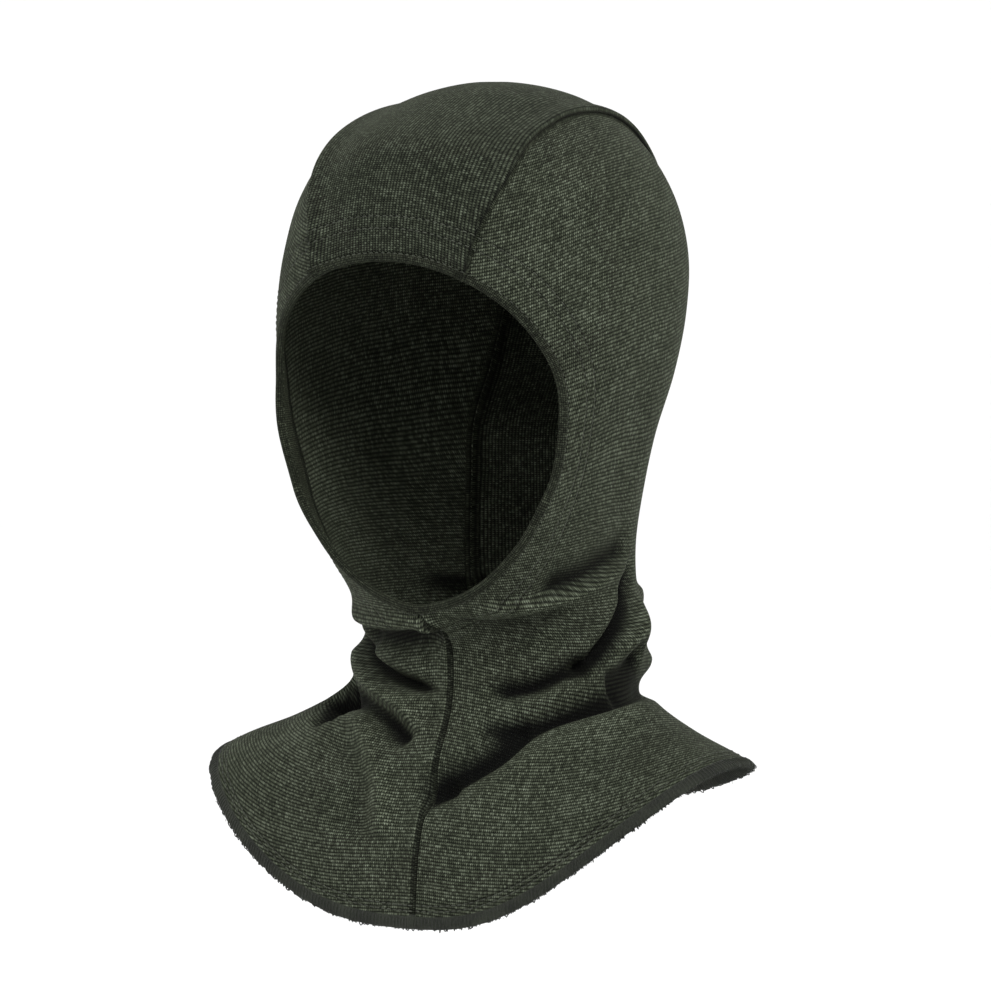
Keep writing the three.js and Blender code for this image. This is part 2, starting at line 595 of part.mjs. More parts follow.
// Overlocked edge that runs on from the lower edge of the three panels
function capeHem() {
  const left = Array.from({ length: SIDE_COLUMNS }, (_, c) => sidePlace(sideRows(1).at(-1), c));
  const right = Array.from({ length: SIDE_COLUMNS }, (_, c) => sidePlace(sideRows(-1).at(-1), c));
  const loop = [];
  for (const place of left) loop.push({ ...place, piece: 'left' });
  for (const place of crownRow(1).reverse()) loop.push({ ...place, piece: 'crown' });
  for (const place of right.reverse()) loop.push({ ...place, azimuth: -place.azimuth, piece: 'right' });
  const waist = OVERLOCK_WIDTH * OVERLOCK_WAIST;
  const corners = [
    [SEAM_GAP, 0], [SEAM_GAP, CLOTH], [waist, CLOTH + OVERLOCK_PROUD],
    [OVERLOCK_WIDTH, CLOTH * (1 - OVERLOCK_END)], [OVERLOCK_WIDTH, CLOTH * OVERLOCK_END], [waist, -OVERLOCK_PROUD],
  ];
  const sections = loop.map((place) => {
    const foot = clothPoint(place.piece, place.azimuth, 1, 0);
    const fall = foot.clone().sub(clothPoint(place.piece, place.azimuth, 1 - EDGE_STEP, 0));
    const { out } = formFrame(place.azimuth, 1);
    const down = fall.addScaledVector(out, -fall.dot(out)).normalize();
    return corners.map(([reach, height]) => (
      foot.clone().addScaledVector(down, reach).addScaledVector(out, height)));
  });
  return ringGeometry(sections);
}

const hood = new THREE.Group();

function addPiece(name, geometry, material) {
  const mesh = new THREE.Mesh(geometry, material);
  mesh.name = name;
  hood.add(mesh);
}

addPiece('crown_panel', crownPanel(), KNIT_DARK);
addPiece('side_panel_left', sidePanel('left'), KNIT_GREEN);
addPiece('side_panel_right', sidePanel('right'), KNIT_GREEN);
addPiece('face_hem', faceHem(), KNIT_DARK);
addPiece('cape_hem', capeHem(), THREAD_DARK);

export default hood;
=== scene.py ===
"""A knitted hood with a face opening and a short shoulder cape, dressed on its frame.

Metres, +Z up, the face towards -Y and the wearer's left towards +X. The origin is the inside of the crown's
highest point. Every place on the cloth is an azimuth (0 the front, a quarter turn the wearer's left) and a
level (0 the apex, 1 the lower edge) on one smooth form, which the folds then push in and out.
"""

from __future__ import annotations

import logging
import math
from dataclasses import dataclass, field
from enum import Enum
from typing import Any, Sequence, Union

import bpy
import numpy as np
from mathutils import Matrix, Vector
from mathutils.kdtree import KDTree


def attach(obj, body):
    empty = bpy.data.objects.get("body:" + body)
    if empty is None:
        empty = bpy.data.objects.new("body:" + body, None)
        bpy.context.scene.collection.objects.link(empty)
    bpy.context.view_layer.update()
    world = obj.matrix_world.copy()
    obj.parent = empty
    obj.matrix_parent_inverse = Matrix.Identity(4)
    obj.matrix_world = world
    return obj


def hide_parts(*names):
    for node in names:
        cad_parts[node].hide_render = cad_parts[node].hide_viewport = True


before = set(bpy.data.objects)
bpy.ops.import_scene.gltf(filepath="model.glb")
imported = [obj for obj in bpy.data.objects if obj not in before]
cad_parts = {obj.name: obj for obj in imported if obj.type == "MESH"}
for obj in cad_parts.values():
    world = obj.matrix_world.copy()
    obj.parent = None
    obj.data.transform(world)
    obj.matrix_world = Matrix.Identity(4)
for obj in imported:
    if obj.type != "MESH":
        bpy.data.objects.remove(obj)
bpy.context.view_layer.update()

LOG = logging.getLogger("knit_hood")
Array = np.ndarray
Colour = tuple[float, float, float]
BODY = "root"
TINY = 1e-9


def smooth(x: Array) -> Array:
    """Smooth step from 0 to 1."""
    s = np.clip(x, 0.0, 1.0)
    return s * s * (3 - 2 * s)


def unit(v: Array) -> Array:
    """Vectors of length 1 along v."""
    return v / np.maximum(np.linalg.norm(v, axis=-1, keepdims=True), TINY)


def dot(a: Array, b: Array) -> Array:
    """Scalar products of two arrays of vectors."""
    return (a * b).sum(axis=-1)


@dataclass(frozen=True)
class Section:
    """One level section of the form, as shares of the sizes that it follows.

    square and back_square are the powers of the front and the back half: 2 is an ellipse, more is squarer.
    """

    drop: float
    side: float
    front: float
    back: float
    middle: float
    square: float
    back_square: float
    front_dip: float = 0.0
    back_dip: float = 0.0


# Columns: drop, side, front, back, middle, square, back_square
HEAD_SECTIONS = (
    Section(0.000, 0.000, 0.000, 0.000, 0.00, 2.0, 2.0),
    Section(0.012, 0.255, 0.240, 0.310, 0.01, 2.0, 2.0),
    Section(0.046, 0.495, 0.480, 0.540, 0.01, 2.0, 2.0),
    Section(0.114, 0.740, 0.800, 0.715, 0.00, 2.1, 2.0),
    Section(0.210, 0.905, 0.930, 0.880, -0.02, 2.2, 2.0),
    Section(0.320, 0.980, 0.965, 0.955, -0.02, 2.4, 2.0),
    Section(0.434, 0.990, 0.955, 0.905, -0.03, 2.7, 2.0),
    Section(0.548, 0.957, 0.945, 0.775, -0.04, 3.0, 2.0),
    Section(0.662, 0.885, 1.005, 0.605, -0.04, 3.5, 2.0),
    Section(0.767, 0.808, 1.000, 0.595, -0.03, 3.2, 2.0),
    Section(0.868, 0.748, 0.865, 0.600, -0.01, 2.5, 2.0),
    Section(0.950, 0.745, 0.730, 0.605, 0.00, 1.9, 2.0),
    Section(1.000, 0.760, 0.625, 0.630, 0.04, 1.75, 2.0),
)

# Columns: drop, side, front, back, middle, square, back_square, front_dip, back_dip
NECK_SECTIONS = (
    Section(0.24, 0.99, 1.06, 0.93, 0.10, 1.8, 2.0, 0.03, 0.00),
    Section(0.52, 0.99, 0.99, 0.94, 0.08, 1.9, 2.0, 0.05, 0.00),
    Section(0.79, 1.03, 1.02, 0.85, 0.04, 2.0, 2.0, 0.07, 0.08),
    Section(1.00, 1.18, 1.12, 0.88, -0.03, 2.0, 2.0, 0.10, 0.15),
)
CAPE_SECTIONS = (
    Section(0.35, 0.715, 0.800, 0.720, -0.05, 2.1, 2.0, 0.26, 0.38),
    Section(0.69, 0.895, 0.975, 0.775, -0.06, 2.2, 2.0, 0.59, 0.69),
    Section(1.00, 1.010, 1.030, 0.830, -0.065, 2.36, 2.0, 1.00, 1.00),
)


@dataclass(frozen=True)
class Fold:
    """A ridge, or with a negative rise a crease, along a path of (azimuth in degrees, level) places.

    rise is a share of the folds' height, above and below are shares of their width on the path's two sides.
    sharp is the profile's power: 2 is round, and nearer to 1 is a crease with a sharp bottom. shade is how much
    of the fold's depth is painted into the cloth's colour, as painted shade in a hollow and painted highlight on a
    crest.
    """

    path: tuple[tuple[float, float], ...]
    rise: float
    above: float
    below: float
    sharp: float = 2.0
    shade: float = 1.0


FOLDS = (
    # Under the jaw, on the wearer's left: a deep valley, the crest below it and the crease under that
    Fold(((42, 0.580), (60, 0.573), (75, 0.557), (87, 0.547), (102, 0.532)), -0.60, 1.1, 0.25),
    Fold(((18, 0.612), (30, 0.600), (43, 0.597), (54, 0.592), (66, 0.576), (78, 0.562), (88, 0.551), (102, 0.540)),
         0.50, 0.25, 0.5),
    Fold(((9, 0.630), (22, 0.643), (39, 0.638), (51, 0.618), (64, 0.593)), -0.35, 0.3, 0.9),
    # Down the side of the neck to the throat, on the wearer's left: a sharp crease and the roll behind it
    Fold(((58, 0.745), (68, 0.728), (75, 0.702), (81, 0.668), (90, 0.615), (95, 0.572), (108, 0.540)),
         -1.05, 0.28, 0.75, 1.6),
    Fold(((22, 0.772), (40, 0.770), (51, 0.760), (63, 0.740), (70, 0.724)), -0.70, 0.55, 0.45, 1.7),
    Fold(((20, 0.792), (47, 0.790), (57, 0.777), (68, 0.757), (79, 0.732), (89, 0.700), (100, 0.658), (116, 0.602)),
         0.60, 0.40, 0.8),
    Fold(((76, 0.775), (88, 0.747), (101, 0.715)), -0.75, 0.7, 0.7),
    # Where the neck turns out into the cape, on the wearer's left
    Fold(((2, 0.924), (8, 0.912), (17, 0.902), (35, 0.880), (47, 0.851), (62, 0.826), (77, 0.810), (96, 0.798),
          (114, 0.804), (130, 0.812)), -0.85, 0.9, 0.28, 1.7),
    Fold(((4, 0.938), (25, 0.919), (37, 0.902), (47, 0.888), (60, 0.871), (72, 0.855), (87, 0.836), (112, 0.833)),
         0.35, 0.4, 1.3),
    Fold(((24, 0.838), (36, 0.843), (49, 0.850)), -0.40, 0.5, 0.5),
    Fold(((0, 0.922), (8, 0.913), (18, 0.903)), -0.35, 0.8, 0.7, 2.0, 0.7),
    # Under the chin, on the wearer's right: the roll under the rim, the valley and the pillow
    Fold(((-64, 0.638), (-45, 0.646), (-26, 0.644), (-5, 0.636), (8, 0.646)), 0.50, 0.5, 0.35),
    Fold(((-68, 0.690), (-45, 0.690), (-25, 0.683), (-5, 0.668), (7, 0.662)), -0.65, 0.35, 0.6),
    Fold(((-58, 0.712), (-30, 0.722), (-6, 0.728)), 0.30, 0.6, 0.5),
    # The deep crease and the roll that comes out from under it, on the wearer's right
    Fold(((-84, 0.682), (-74, 0.705), (-62, 0.725), (-50, 0.744), (-37, 0.755), (-21, 0.763), (1, 0.776)),
         -1.10, 0.28, 0.5, 1.6),
    Fold(((-86, 0.700), (-72, 0.730), (-62, 0.747), (-46, 0.768), (-24, 0.786), (0, 0.797)), 0.75, 0.35, 0.8),
    Fold(((-64, 0.757), (-38, 0.797), (-17, 0.836), (2, 0.853)), 0.35, 0.3, 0.35),
    Fold(((-72, 0.797), (-52, 0.812), (-38, 0.826), (-24, 0.850), (-12, 0.866)), -0.70, 0.4, 0.7),
    # Pocket, ridge and hollow where the neck meets the cape, on the wearer's right
    Fold(((-82, 0.815), (-71, 0.840), (-62, 0.864)), -1.7, 0.9, 0.8, 2.6),
    Fold(((-60, 0.830), (-46, 0.858), (-33, 0.883), (-24, 0.902), (-16, 0.930), (-15, 0.950)), 0.65, 0.6, 0.8),
    Fold(((-60, 0.862), (-43, 0.886), (-31, 0.912), (-26, 0.934), (-26, 0.955)), -0.60, 0.9, 1.1, 2.0, 0.45),
    # Round the back of the neck
    Fold(((112, 0.600), (140, 0.615), (180, 0.620), (220, 0.610), (252, 0.590)), 0.5, 0.5, 0.7),
    Fold(((108, 0.655), (150, 0.680), (200, 0.685), (250, 0.668)), -0.8, 0.35, 0.7, 1.7),
    Fold(((104, 0.735), (150, 0.755), (210, 0.755), (262, 0.735)), 0.6, 0.5, 0.8),
    Fold(((115, 0.800), (150, 0.815), (180, 0.820), (215, 0.810), (250, 0.800)), -0.6, 0.8, 0.35, 1.7),
)


@dataclass
class Form:
    """The smooth shape that the hood takes on a head, before its folds."""

    head_height: float = 0.219
    head_half_width: float = 0.0805
    face_depth: float = 0.092
    skull_depth: float = 0.091
    neck_height: float = 0.042
    neck_half_width: float = 0.063
    throat_depth: float = 0.040
    nape_depth: float = 0.063
    cape_drop: float = 0.026
    shoulder_half_width: float = 0.128
    chest_depth: float = 0.069
    back_depth: float = 0.089
    chest_dip: float = 0.0575
    back_dip: float = 0.018
    left_hem_lift: float = 0.050
    right_hem_lift: float = 0.0165
    lift_from: float = 0.8
    step: float = 1e-3
    rows: Array = field(init=False)
    drops: Array = field(init=False)
    levels: Array = field(init=False)

    def __post_init__(self) -> None:
        """Works out the table of sections in metres, with one more row before the apex and one past the hem."""
        neck_top = self.head_height
        cape_top = neck_top + self.neck_height
        rows = [
            *self._scaled(HEAD_SECTIONS, 0, self.head_height, self.head_half_width, self.face_depth, self.skull_depth),
            *self._scaled(NECK_SECTIONS, neck_top, self.neck_height, self.neck_half_width, self.throat_depth,
                          self.nape_depth),
            *self._scaled(CAPE_SECTIONS, cape_top, self.cape_drop, self.shoulder_half_width, self.chest_depth,
                          self.back_depth),
        ]
        before = list(rows[1])
        before[1:4] = [-value for value in before[1:4]]
        after = [2 * a - b for a, b in zip(rows[-1], rows[-2])]
        self.rows = np.array([before, *rows, after])
        self.levels = np.linspace(0, 1, 2001)
        self.drops = np.maximum.accumulate(self.sections(self.levels)[:, 0])

    def _scaled(self, table: Sequence[Section], top: float, height: float, half_width: float, front: float,
                back: float) -> list[list[float]]:
        """Rows of a table in metres.

        Args:
            table: the sections, as shares.
            top: drop of the stretch's upper end.
            height: size that drop is a share of.
            half_width: size that side is a share of.
            front: size that front is a share of.
            back: size that back and middle are shares of.

        Returns:
            One list of nine values for each section.
        """
        return [[top + s.drop * height, s.side * half_width, s.front * front, s.back * back, s.middle * back,
                 s.square, s.back_square, s.front_dip * self.chest_dip, s.back_dip * self.back_dip] for s in table]

    def sections(self, level: Array) -> Array:
        """Sections at some levels, on a smooth curve through the table.

        Args:
            level: any number of levels, from 0 to 1.

        Returns:
            An array with one more axis, of the nine values.
        """
        last = len(self.rows) - 4
        place = np.clip(level, 0, 1) * (last + 1)
        index = np.minimum(place.astype(int), last)
        f = (place - index)[..., None]
        a, b, c, d = (self.rows[index + k] for k in range(4))
        return 0.5 * (2 * b + (c - a) * f + (2 * a - 5 * b + 4 * c - d) * f ** 2 + (3 * b - a - 3 * c + d) * f ** 3)

    def point(self, azimuth: Array, level: Array) -> Array:
        """Points of the form, one for each pair of azimuth and level."""
        azimuth, level = np.broadcast_arrays(np.asarray(azimuth, float), np.asarray(level, float))
        sine, cosine = np.sin(azimuth), np.cos(azimuth)
        rise = np.clip((level - self.lift_from) / (1 - self.lift_from), 0, 1) ** 2
        lift = np.where(sine > 0, self.left_hem_lift, self.right_hem_lift) * sine ** 4 * rise
        columns = np.moveaxis(self.sections(level - lift), -1, 0)
        drop, side, front, back, middle, square, back_square, front_dip, back_dip = columns
        at_back = cosine <= 0
        square = np.where(at_back, back_square, square)
        depth = np.maximum(np.where(at_back, back - middle, front + middle), TINY)
        side = np.maximum(side, TINY)
        radius = (np.abs(cosine / depth) ** square + np.abs(sine / side) ** square) ** (-1 / square)
        dip = np.where(at_back, back_dip, front_dip) * (radius * np.abs(cosine) / depth) ** square
        return np.stack([radius * sine, middle - radius * cosine, -drop - dip], axis=-1)

    def directions(self, azimuth: Array, level: Array) -> tuple[Array, Array, Array]:
        """Directions along the form: round the body, down the body, and out of the cloth with length 1."""
        h = self.step
        here = np.clip(level, 2 * h, 1 - 2 * h)
        around = (self.point(azimuth + h, here) - self.point(azimuth - h, here)) / (2 * h)
        down = (self.point(azimuth, here + h) - self.point(azimuth, here - h)) / (2 * h)
        return around, down, unit(np.cross(down, around))

    def level_of_drop(self, drop: Array) -> Array:
        """Levels whose sections lie a given drop below the apex."""
        return np.interp(drop, self.drops, self.levels)

    def azimuth_of_x(self, x: Array, level: Array, at_back: Array) -> Array:
        """Azimuths at which sections reach a given x, in their front or back half."""
        s = self.sections(np.asarray(level, float))
        side = np.maximum(s[..., 1], TINY)
        square = np.where(at_back, s[..., 6], s[..., 5])
        depth = np.where(at_back, s[..., 3] - s[..., 4], s[..., 2] + s[..., 4])
        along = depth * np.maximum(0, 1 - np.abs(x / side) ** square) ** (1 / square)
        return np.arctan2(x, np.where(at_back, -along, along))

    def beside(self, azimuth: Array, level: Array, reach: float, closed: bool) -> tuple[Array, Array]:
        """Places at a distance beside a line on the form.

        Args:
            azimuth: azimuths along the line.
            level: levels along the line.
            reach: distance, positive on the side that the outward direction crossed with the run points to.
            closed: whether the line is a loop.

        Returns:
            The azimuths and levels of the line beside it.
        """
        points = self.point(azimuth, level)
        if closed:
            run = np.roll(points, -1, axis=0) - np.roll(points, 1, axis=0)
        else:
            run = np.gradient(points, axis=0)
        around, down, out = self.directions(azimuth, level)
        across = unit(np.cross(out, run))
        rr, rd, dd = dot(around, around), dot(around, down), dot(down, down)
        area = rr * dd - rd * rd
        turn = (dot(across, around) * dd - dot(across, down) * rd) / area
        fall = (dot(across, down) * rr - dot(across, around) * rd) / area
        return azimuth + turn * reach, level + fall * reach


class Piece(Enum):
    """The three pieces of cloth."""

    CROWN = "crown"
    LEFT = "left"
    RIGHT = "right"


@dataclass
class Pattern:
    """The lines along which the hood is cut and sewn."""

    form: Form
    brow_width: float = 0.072
    crown_width: float = 0.091
    crown_share: float = 0.64
    front_shift: float = 0.0032
    shift_reach: float = 0.03
    seam_gap: float = 0.0003
    forehead_cover: float = 0.0694
    cheek_cover: float = 0.0123
    chin_cover: float = 0.0028
    widest_share: float = 0.42
    brow_squareness: float = 2.2
    jaw_squareness: float = 1.85
    ring_reach: float = 0.3

    def __post_init__(self) -> None:
        """Works out the sizes that follow from the cut."""
        self.brow_half = self.brow_width / 2
        self.half_gap = self.seam_gap / 2
        self.face_half = self.form.head_half_width - self.cheek_cover
        self.face_bottom = self.form.head_height - self.chin_cover
        self.face_widest = self.forehead_cover + self.widest_share * (self.face_bottom - self.forehead_cover)
        self.corner_level = float(self.form.level_of_drop(self.brow_drop(self.brow_half)))
        beyond = self.form.sections(self.form.levels)[:, 1] - self.half_at(self.form.levels)
        self.top_level = float(self.form.levels[np.argmax(beyond > 0)])
        self.chin_level = float(self.form.level_of_drop(self.face_bottom))

    def half_at(self, level: Array) -> Array:
        """Half the crown strip's width, which swells over the crown from its width at the brow."""
        full = self.crown_share * self.corner_level
        swell = 1 - smooth((level - full) / (self.corner_level - full))
        return self.brow_half + (self.crown_width - self.brow_width) / 2 * swell

    def front_seam_x(self, level: Array) -> Array:
        """Where the front seam runs: from the chin's middle over to the wearer's left, and straight on down."""
        return self.front_shift * smooth((level - self.chin_level) / self.shift_reach)

    def seam_place(self, offset: float, reach: Array, at_back: Array) -> tuple[Array, Array]:
        """Places beside a crown seam, from reach 0 over the apex to 1 at the hem."""
        run = reach * math.sqrt(1 - self.top_level ** 2)
        level = np.hypot(self.top_level, run)
        return self.form.azimuth_of_x(self.half_at(level) + offset, level, at_back), level

    def reach_of_level(self, level: Array) -> Array:
        """Reach along the crown seam at which it meets a level."""
        top = self.top_level ** 2
        return np.sqrt(np.maximum(np.square(level) - top, 0) / (1 - top))

    def brow_drop(self, x: Array) -> Array:
        """Drop of the face opening's upper edge over a given x."""
        power = self.brow_squareness
        share = np.maximum(0, 1 - np.abs(x / self.face_half) ** power) ** (1 / power)
        return self.face_widest - (self.face_widest - self.forehead_cover) * share

    def corner_angle(self, half: float) -> float:
        """Angle round the face opening at which its edge meets the crown seam."""
        return math.asin((half / self.face_half) ** (self.brow_squareness / 2))

    def opening_place(self, angle: Array) -> tuple[Array, Array]:
        """Places on the face opening's edge, from angle 0 at the brow to half a turn at the chin."""
        above = angle < math.pi / 2
        power = 2 / np.where(above, self.brow_squareness, self.jaw_squareness)
        x = np.maximum(self.face_half * np.maximum(np.sin(angle), 0) ** power, self.half_gap)
        reach = np.abs(np.cos(angle)) ** power
        rise = self.face_widest - self.forehead_cover
        fall = self.face_bottom - self.face_widest
        level = self.form.level_of_drop(self.face_widest + np.where(above, -reach * rise, reach * fall))
        return self.form.azimuth_of_x(x, level, False), level

    def crown_place(self, across: Array, along: Array) -> tuple[Array, Array]:
        """Places on the crown strip.

        Args:
            across: from -1 at the wearer's right seam to 1 at the left one.
            along: from -1 at the brow over 0 at the apex to 1 at the hem.

        Returns:
            Azimuths and levels.
        """
        at_back = along >= 0
        reach = np.where(at_back, along, -along * self.reach_of_level(self.corner_level))
        end_azimuth, end_level = self.seam_place(-self.half_gap, reach, at_back)
        a = across * end_level * np.sin(end_azimuth)
        b = end_level * np.cos(end_azimuth)
        ring = smooth(reach / self.ring_reach)
        level = np.sqrt((1 - ring) * (a * a + b * b) + ring * end_level ** 2)
        forward = np.sqrt(np.maximum(level ** 2 - a * a, 0))
        azimuth = np.arctan2(a, np.where(at_back, -forward, forward))
        brow = self.form.level_of_drop(self.brow_drop(self.brow_half * np.abs(across))) - self.corner_level
        return azimuth, level + np.where(at_back, 0, brow * smooth(-along * 2 - 1))

    def side_ends(self, top: int, opening: int, neck: int, sign: int) -> tuple[Array, Array, Array, Array]:
        """Ends of a side panel's rows, mirrored to the wearer's left.

        Args:
            top: rows beside the crown.
            opening: rows beside the face opening.
            neck: rows below it.
            sign: 1 for the wearer's left panel, -1 for the right one.

        Returns:
            Azimuths and levels of the front ends, then of the back ends.
        """
        gap = self.half_gap
        corner_reach = float(self.reach_of_level(self.corner_level))
        chin_reach = float(self.reach_of_level(self.chin_level))
        upper = corner_reach * np.arange(top) / top
        share = np.arange(opening) / opening
        lower = self.chin_level + (1 - self.chin_level) * np.arange(neck + 1) / neck
        angle = self.corner_angle(self.brow_half + gap)
        fronts = [self.seam_place(gap, upper, False), self.opening_place(angle + (math.pi - angle) * share),
                  (self.form.azimuth_of_x(gap + sign * self.front_seam_x(lower), lower, False), lower)]
        backs = [self.seam_place(gap, upper, True),
                 self.seam_place(gap, corner_reach + (chin_reach - corner_reach) * share, True),
                 self.seam_place(gap, self.reach_of_level(lower), True)]
        joined = [np.concatenate([pair[k] for pair in ends]) for ends in (fronts, backs) for k in range(2)]
        return joined[0], joined[1], joined[2], joined[3]

    def opening_loop(self, count: int) -> tuple[Array, Array]:
        """Evenly spaced places round the face opening, from the brow's middle round the wearer's left."""
        across = np.linspace(0, 1, 40)
        angle = np.linspace(self.corner_angle(self.brow_half), math.pi, 200)[1:]
        brow = self.crown_place(across, np.full_like(across, -1.0))
        cheek = self.opening_place(angle)
        azimuth = np.concatenate([brow[0], cheek[0]])
        level = np.concatenate([brow[1], cheek[1]])
        azimuth = np.concatenate([azimuth[:-1], -azimuth[::-1]])
        level = np.concatenate([level[:-1], level[::-1]])
        points = self.form.point(azimuth, level)
        run = np.concatenate([[0], np.cumsum(np.linalg.norm(np.diff(points, axis=0), axis=1))])
        even = np.linspace(0, run[-1], count, endpoint=False)
        return np.interp(even, run, azimuth), np.interp(even, run, level)

    def crown_seam(self, count: int, side: int) -> tuple[Array, Array]:
        """Places along a crown seam, from the brow's corner over the crown to the hem, on side 1 or -1."""
        start = -float(self.reach_of_level(self.corner_level))
        reach = np.linspace(start, 1, count)
        azimuth, level = self.seam_place(0.0, np.abs(reach), reach >= 0)
        return side * azimuth, level


@dataclass
class Cloth:
    """The folded cloth: where a place of the form lies once the folds and the raised seam edges are in it."""

    form: Form
    pattern: Pattern
    thickness: float = 0.0014
    fold_height: float = 0.008
    fold_width: float = 0.010
    fold_steps: int = 8
    fold_taper: float = 0.18
    crown_edge_rise: float = 0.0032
    crown_edge_reach: float = 0.007
    front_edge_rise: float = 0.0018
    front_edge_reach: float = 0.005
    curves: list[Array] = field(init=False)

    def __post_init__(self) -> None:
        """Draws each fold's path on the form."""
        self.curves = [self._curve(fold.path) for fold in FOLDS]

    def _curve(self, path: tuple[tuple[float, float], ...]) -> Array:
        """Points on the form along a smooth curve through a fold's places."""
        keys = np.array([(math.radians(a), level) for a, level in path])
        keys = np.vstack([2 * keys[0] - keys[1], keys, 2 * keys[-1] - keys[-2]])
        place = np.linspace(0, len(path) - 1, self.fold_steps * (len(path) - 1) + 1)
        index = np.minimum(place.astype(int), len(path) - 2)
        f = (place - index)[:, None]
        a, b, c, d = (keys[index + k] for k in range(4))
        at = 0.5 * (2 * b + (c - a) * f + (2 * a - 5 * b + 4 * c - d) * f ** 2 + (3 * b - a - 3 * c + d) * f ** 3)
        return self.form.point(at[:, 0], at[:, 1])

    def folded(self, points: Array, out: Array, shaded: bool = False) -> Array:
        """Height of all folds over points of the form.

        Args:
            points: an array of points.
            out: the cloth's outward directions there.
            shaded: whether each fold counts only by its shade share, for the painted shade and highlight.

        Returns:
            One height for each point.
        """
        flat, outward = points.reshape(-1, 3), out.reshape(-1, 3)
        total = np.zeros(len(flat))
        for fold, curve in zip(FOLDS, self.curves):
            margin = 3 * self.fold_width * max(fold.above, fold.below)
            inside = ((flat > curve.min(0) - margin) & (flat < curve.max(0) + margin)).all(axis=1)
            share = fold.shade if shaded else 1.0
            total[inside] += share * self._fold_height(fold, curve, flat[inside], outward[inside])
        return total.reshape(points.shape[:-1])

    def _fold_height(self, fold: Fold, curve: Array, points: Array, out: Array) -> Array:
        """Height of one fold over points near it."""
        nearest = np.full(len(points), np.inf)
        along = np.zeros(len(points))
        side = np.zeros(len(points))
        steps = len(curve) - 1
        for i in range(steps):
            run = curve[i + 1] - curve[i]
            away = points - curve[i]
            share = np.clip(away @ run / (run @ run), 0, 1)
            away = away - share[:, None] * run
            distance = np.linalg.norm(away, axis=1)
            better = distance < nearest
            nearest[better] = distance[better]
            along[better] = (i + share[better]) / steps
            side[better] = dot(np.cross(out[better], run), away[better])
        width = self.fold_width * np.where(side > 0, fold.above, fold.below)
        taper = smooth(along / self.fold_taper) * smooth((1 - along) / self.fold_taper)
        return self.fold_height * fold.rise * taper * np.exp(-(nearest / width) ** fold.sharp)

    def edge_rise(self, points: Array, level: Array, piece: Union[Piece, None]) -> Array:
        """How far the sewn edges stand up: the crown strip's all along, the right side's down the front.

        Args:
            points: points of the form.
            level: their levels.
            piece: the piece that they belong to, or None to go by where they lie.

        Returns:
            One height for each point.
        """
        x, y, z = np.moveaxis(points, -1, 0)
        inside = self.pattern.half_at(level) - np.abs(x)
        corner = -float(np.interp(self.pattern.corner_level, self.form.levels, self.form.drops))
        if piece is None:
            on_crown = (inside >= 0) & ((y > 0) | (z > corner))
            on_right = (x < self.pattern.front_seam_x(level)) & (y < 0) & ~on_crown
        else:
            on_crown = np.full(x.shape, piece is Piece.CROWN)
            on_right = np.full(x.shape, piece is Piece.RIGHT) & (y < 0)
        crown = self.crown_edge_rise * np.exp(-(np.maximum(inside, 0) / self.crown_edge_reach) ** 2)
        below = smooth((-z - self.pattern.face_bottom) / self.front_edge_reach)
        away = x - self.pattern.front_seam_x(level)
        front = self.front_edge_rise * below * np.exp(-(away / self.front_edge_reach) ** 2)
        return np.where(on_crown, crown, 0) + np.where(on_right, front, 0)

    def at(self, azimuth: Array, level: Array, height: Array, piece: Union[Piece, None] = None) -> Array:
        """Points of the cloth, where height 0 is its inner face and thickness its outer face."""
        points = self.form.point(azimuth, level)
        _, _, out = self.form.directions(azimuth, level)
        lift = height + self.folded(points, out) + self.edge_rise(points, np.asarray(level, float), piece)
        return points + out * lift[..., None]

    def lie(self, azimuth: Array, level: Array) -> Array:
        """Painted shade and highlight: how deep in a fold and how high on one each place lies, as two values from 0 to
        1.
        """
        _, _, out = self.form.directions(azimuth, level)
        height = self.folded(self.form.point(azimuth, level), out, True) / self.fold_height
        return np.stack([smooth((-height - 0.06) / 0.60), smooth(height / 0.6)], axis=-1)

    def knit_place(self, azimuth: Array, level: Array) -> tuple[Array, Array]:
        """Metric coordinates of the knit on a side panel, across its wales and down its courses."""
        count = 121
        azimuths = np.linspace(-math.pi, math.pi, count)
        levels = np.linspace(0, 1, count)
        grid = self.form.point(azimuths[:, None], levels[None, :])
        down = np.cumsum(np.linalg.norm(np.diff(grid, axis=1, prepend=grid[:, :1]), axis=2), axis=1)
        around = np.cumsum(np.linalg.norm(np.diff(grid, axis=0, prepend=grid[:1]), axis=2), axis=0)
        chin = int(round(self.pattern.chin_level * (count - 1)))
        down -= down[:, chin:chin + 1]
        around -= around[count // 2][None, :]
        a = (azimuth + math.pi) / (2 * math.pi) * (count - 1)
        b = level * (count - 1)
        i = np.clip(a.astype(int), 0, count - 2)
        j = np.clip(b.astype(int), 0, count - 2)
        fa, fb = a - i, b - j
        u, v = (
            (1 - fa) * (1 - fb) * t[i, j] + fa * (1 - fb) * t[i + 1, j] + (1 - fa) * fb * t[i, j + 1]
            + fa * fb * t[i + 1, j + 1] for t in (around, down))
        return u, v


def distance_to(points: Array, line: Array) -> Array:
    """Distance of each point from the nearest point of a densely drawn line."""
    tree = KDTree(len(line))
    for i, place in enumerate(line.tolist()):
        tree.insert(place, i)
    tree.balance()
    flat = points.reshape(-1, 3).tolist()
    return np.array([tree.find(place)[2] for place in flat]).reshape(points.shape[:-1])


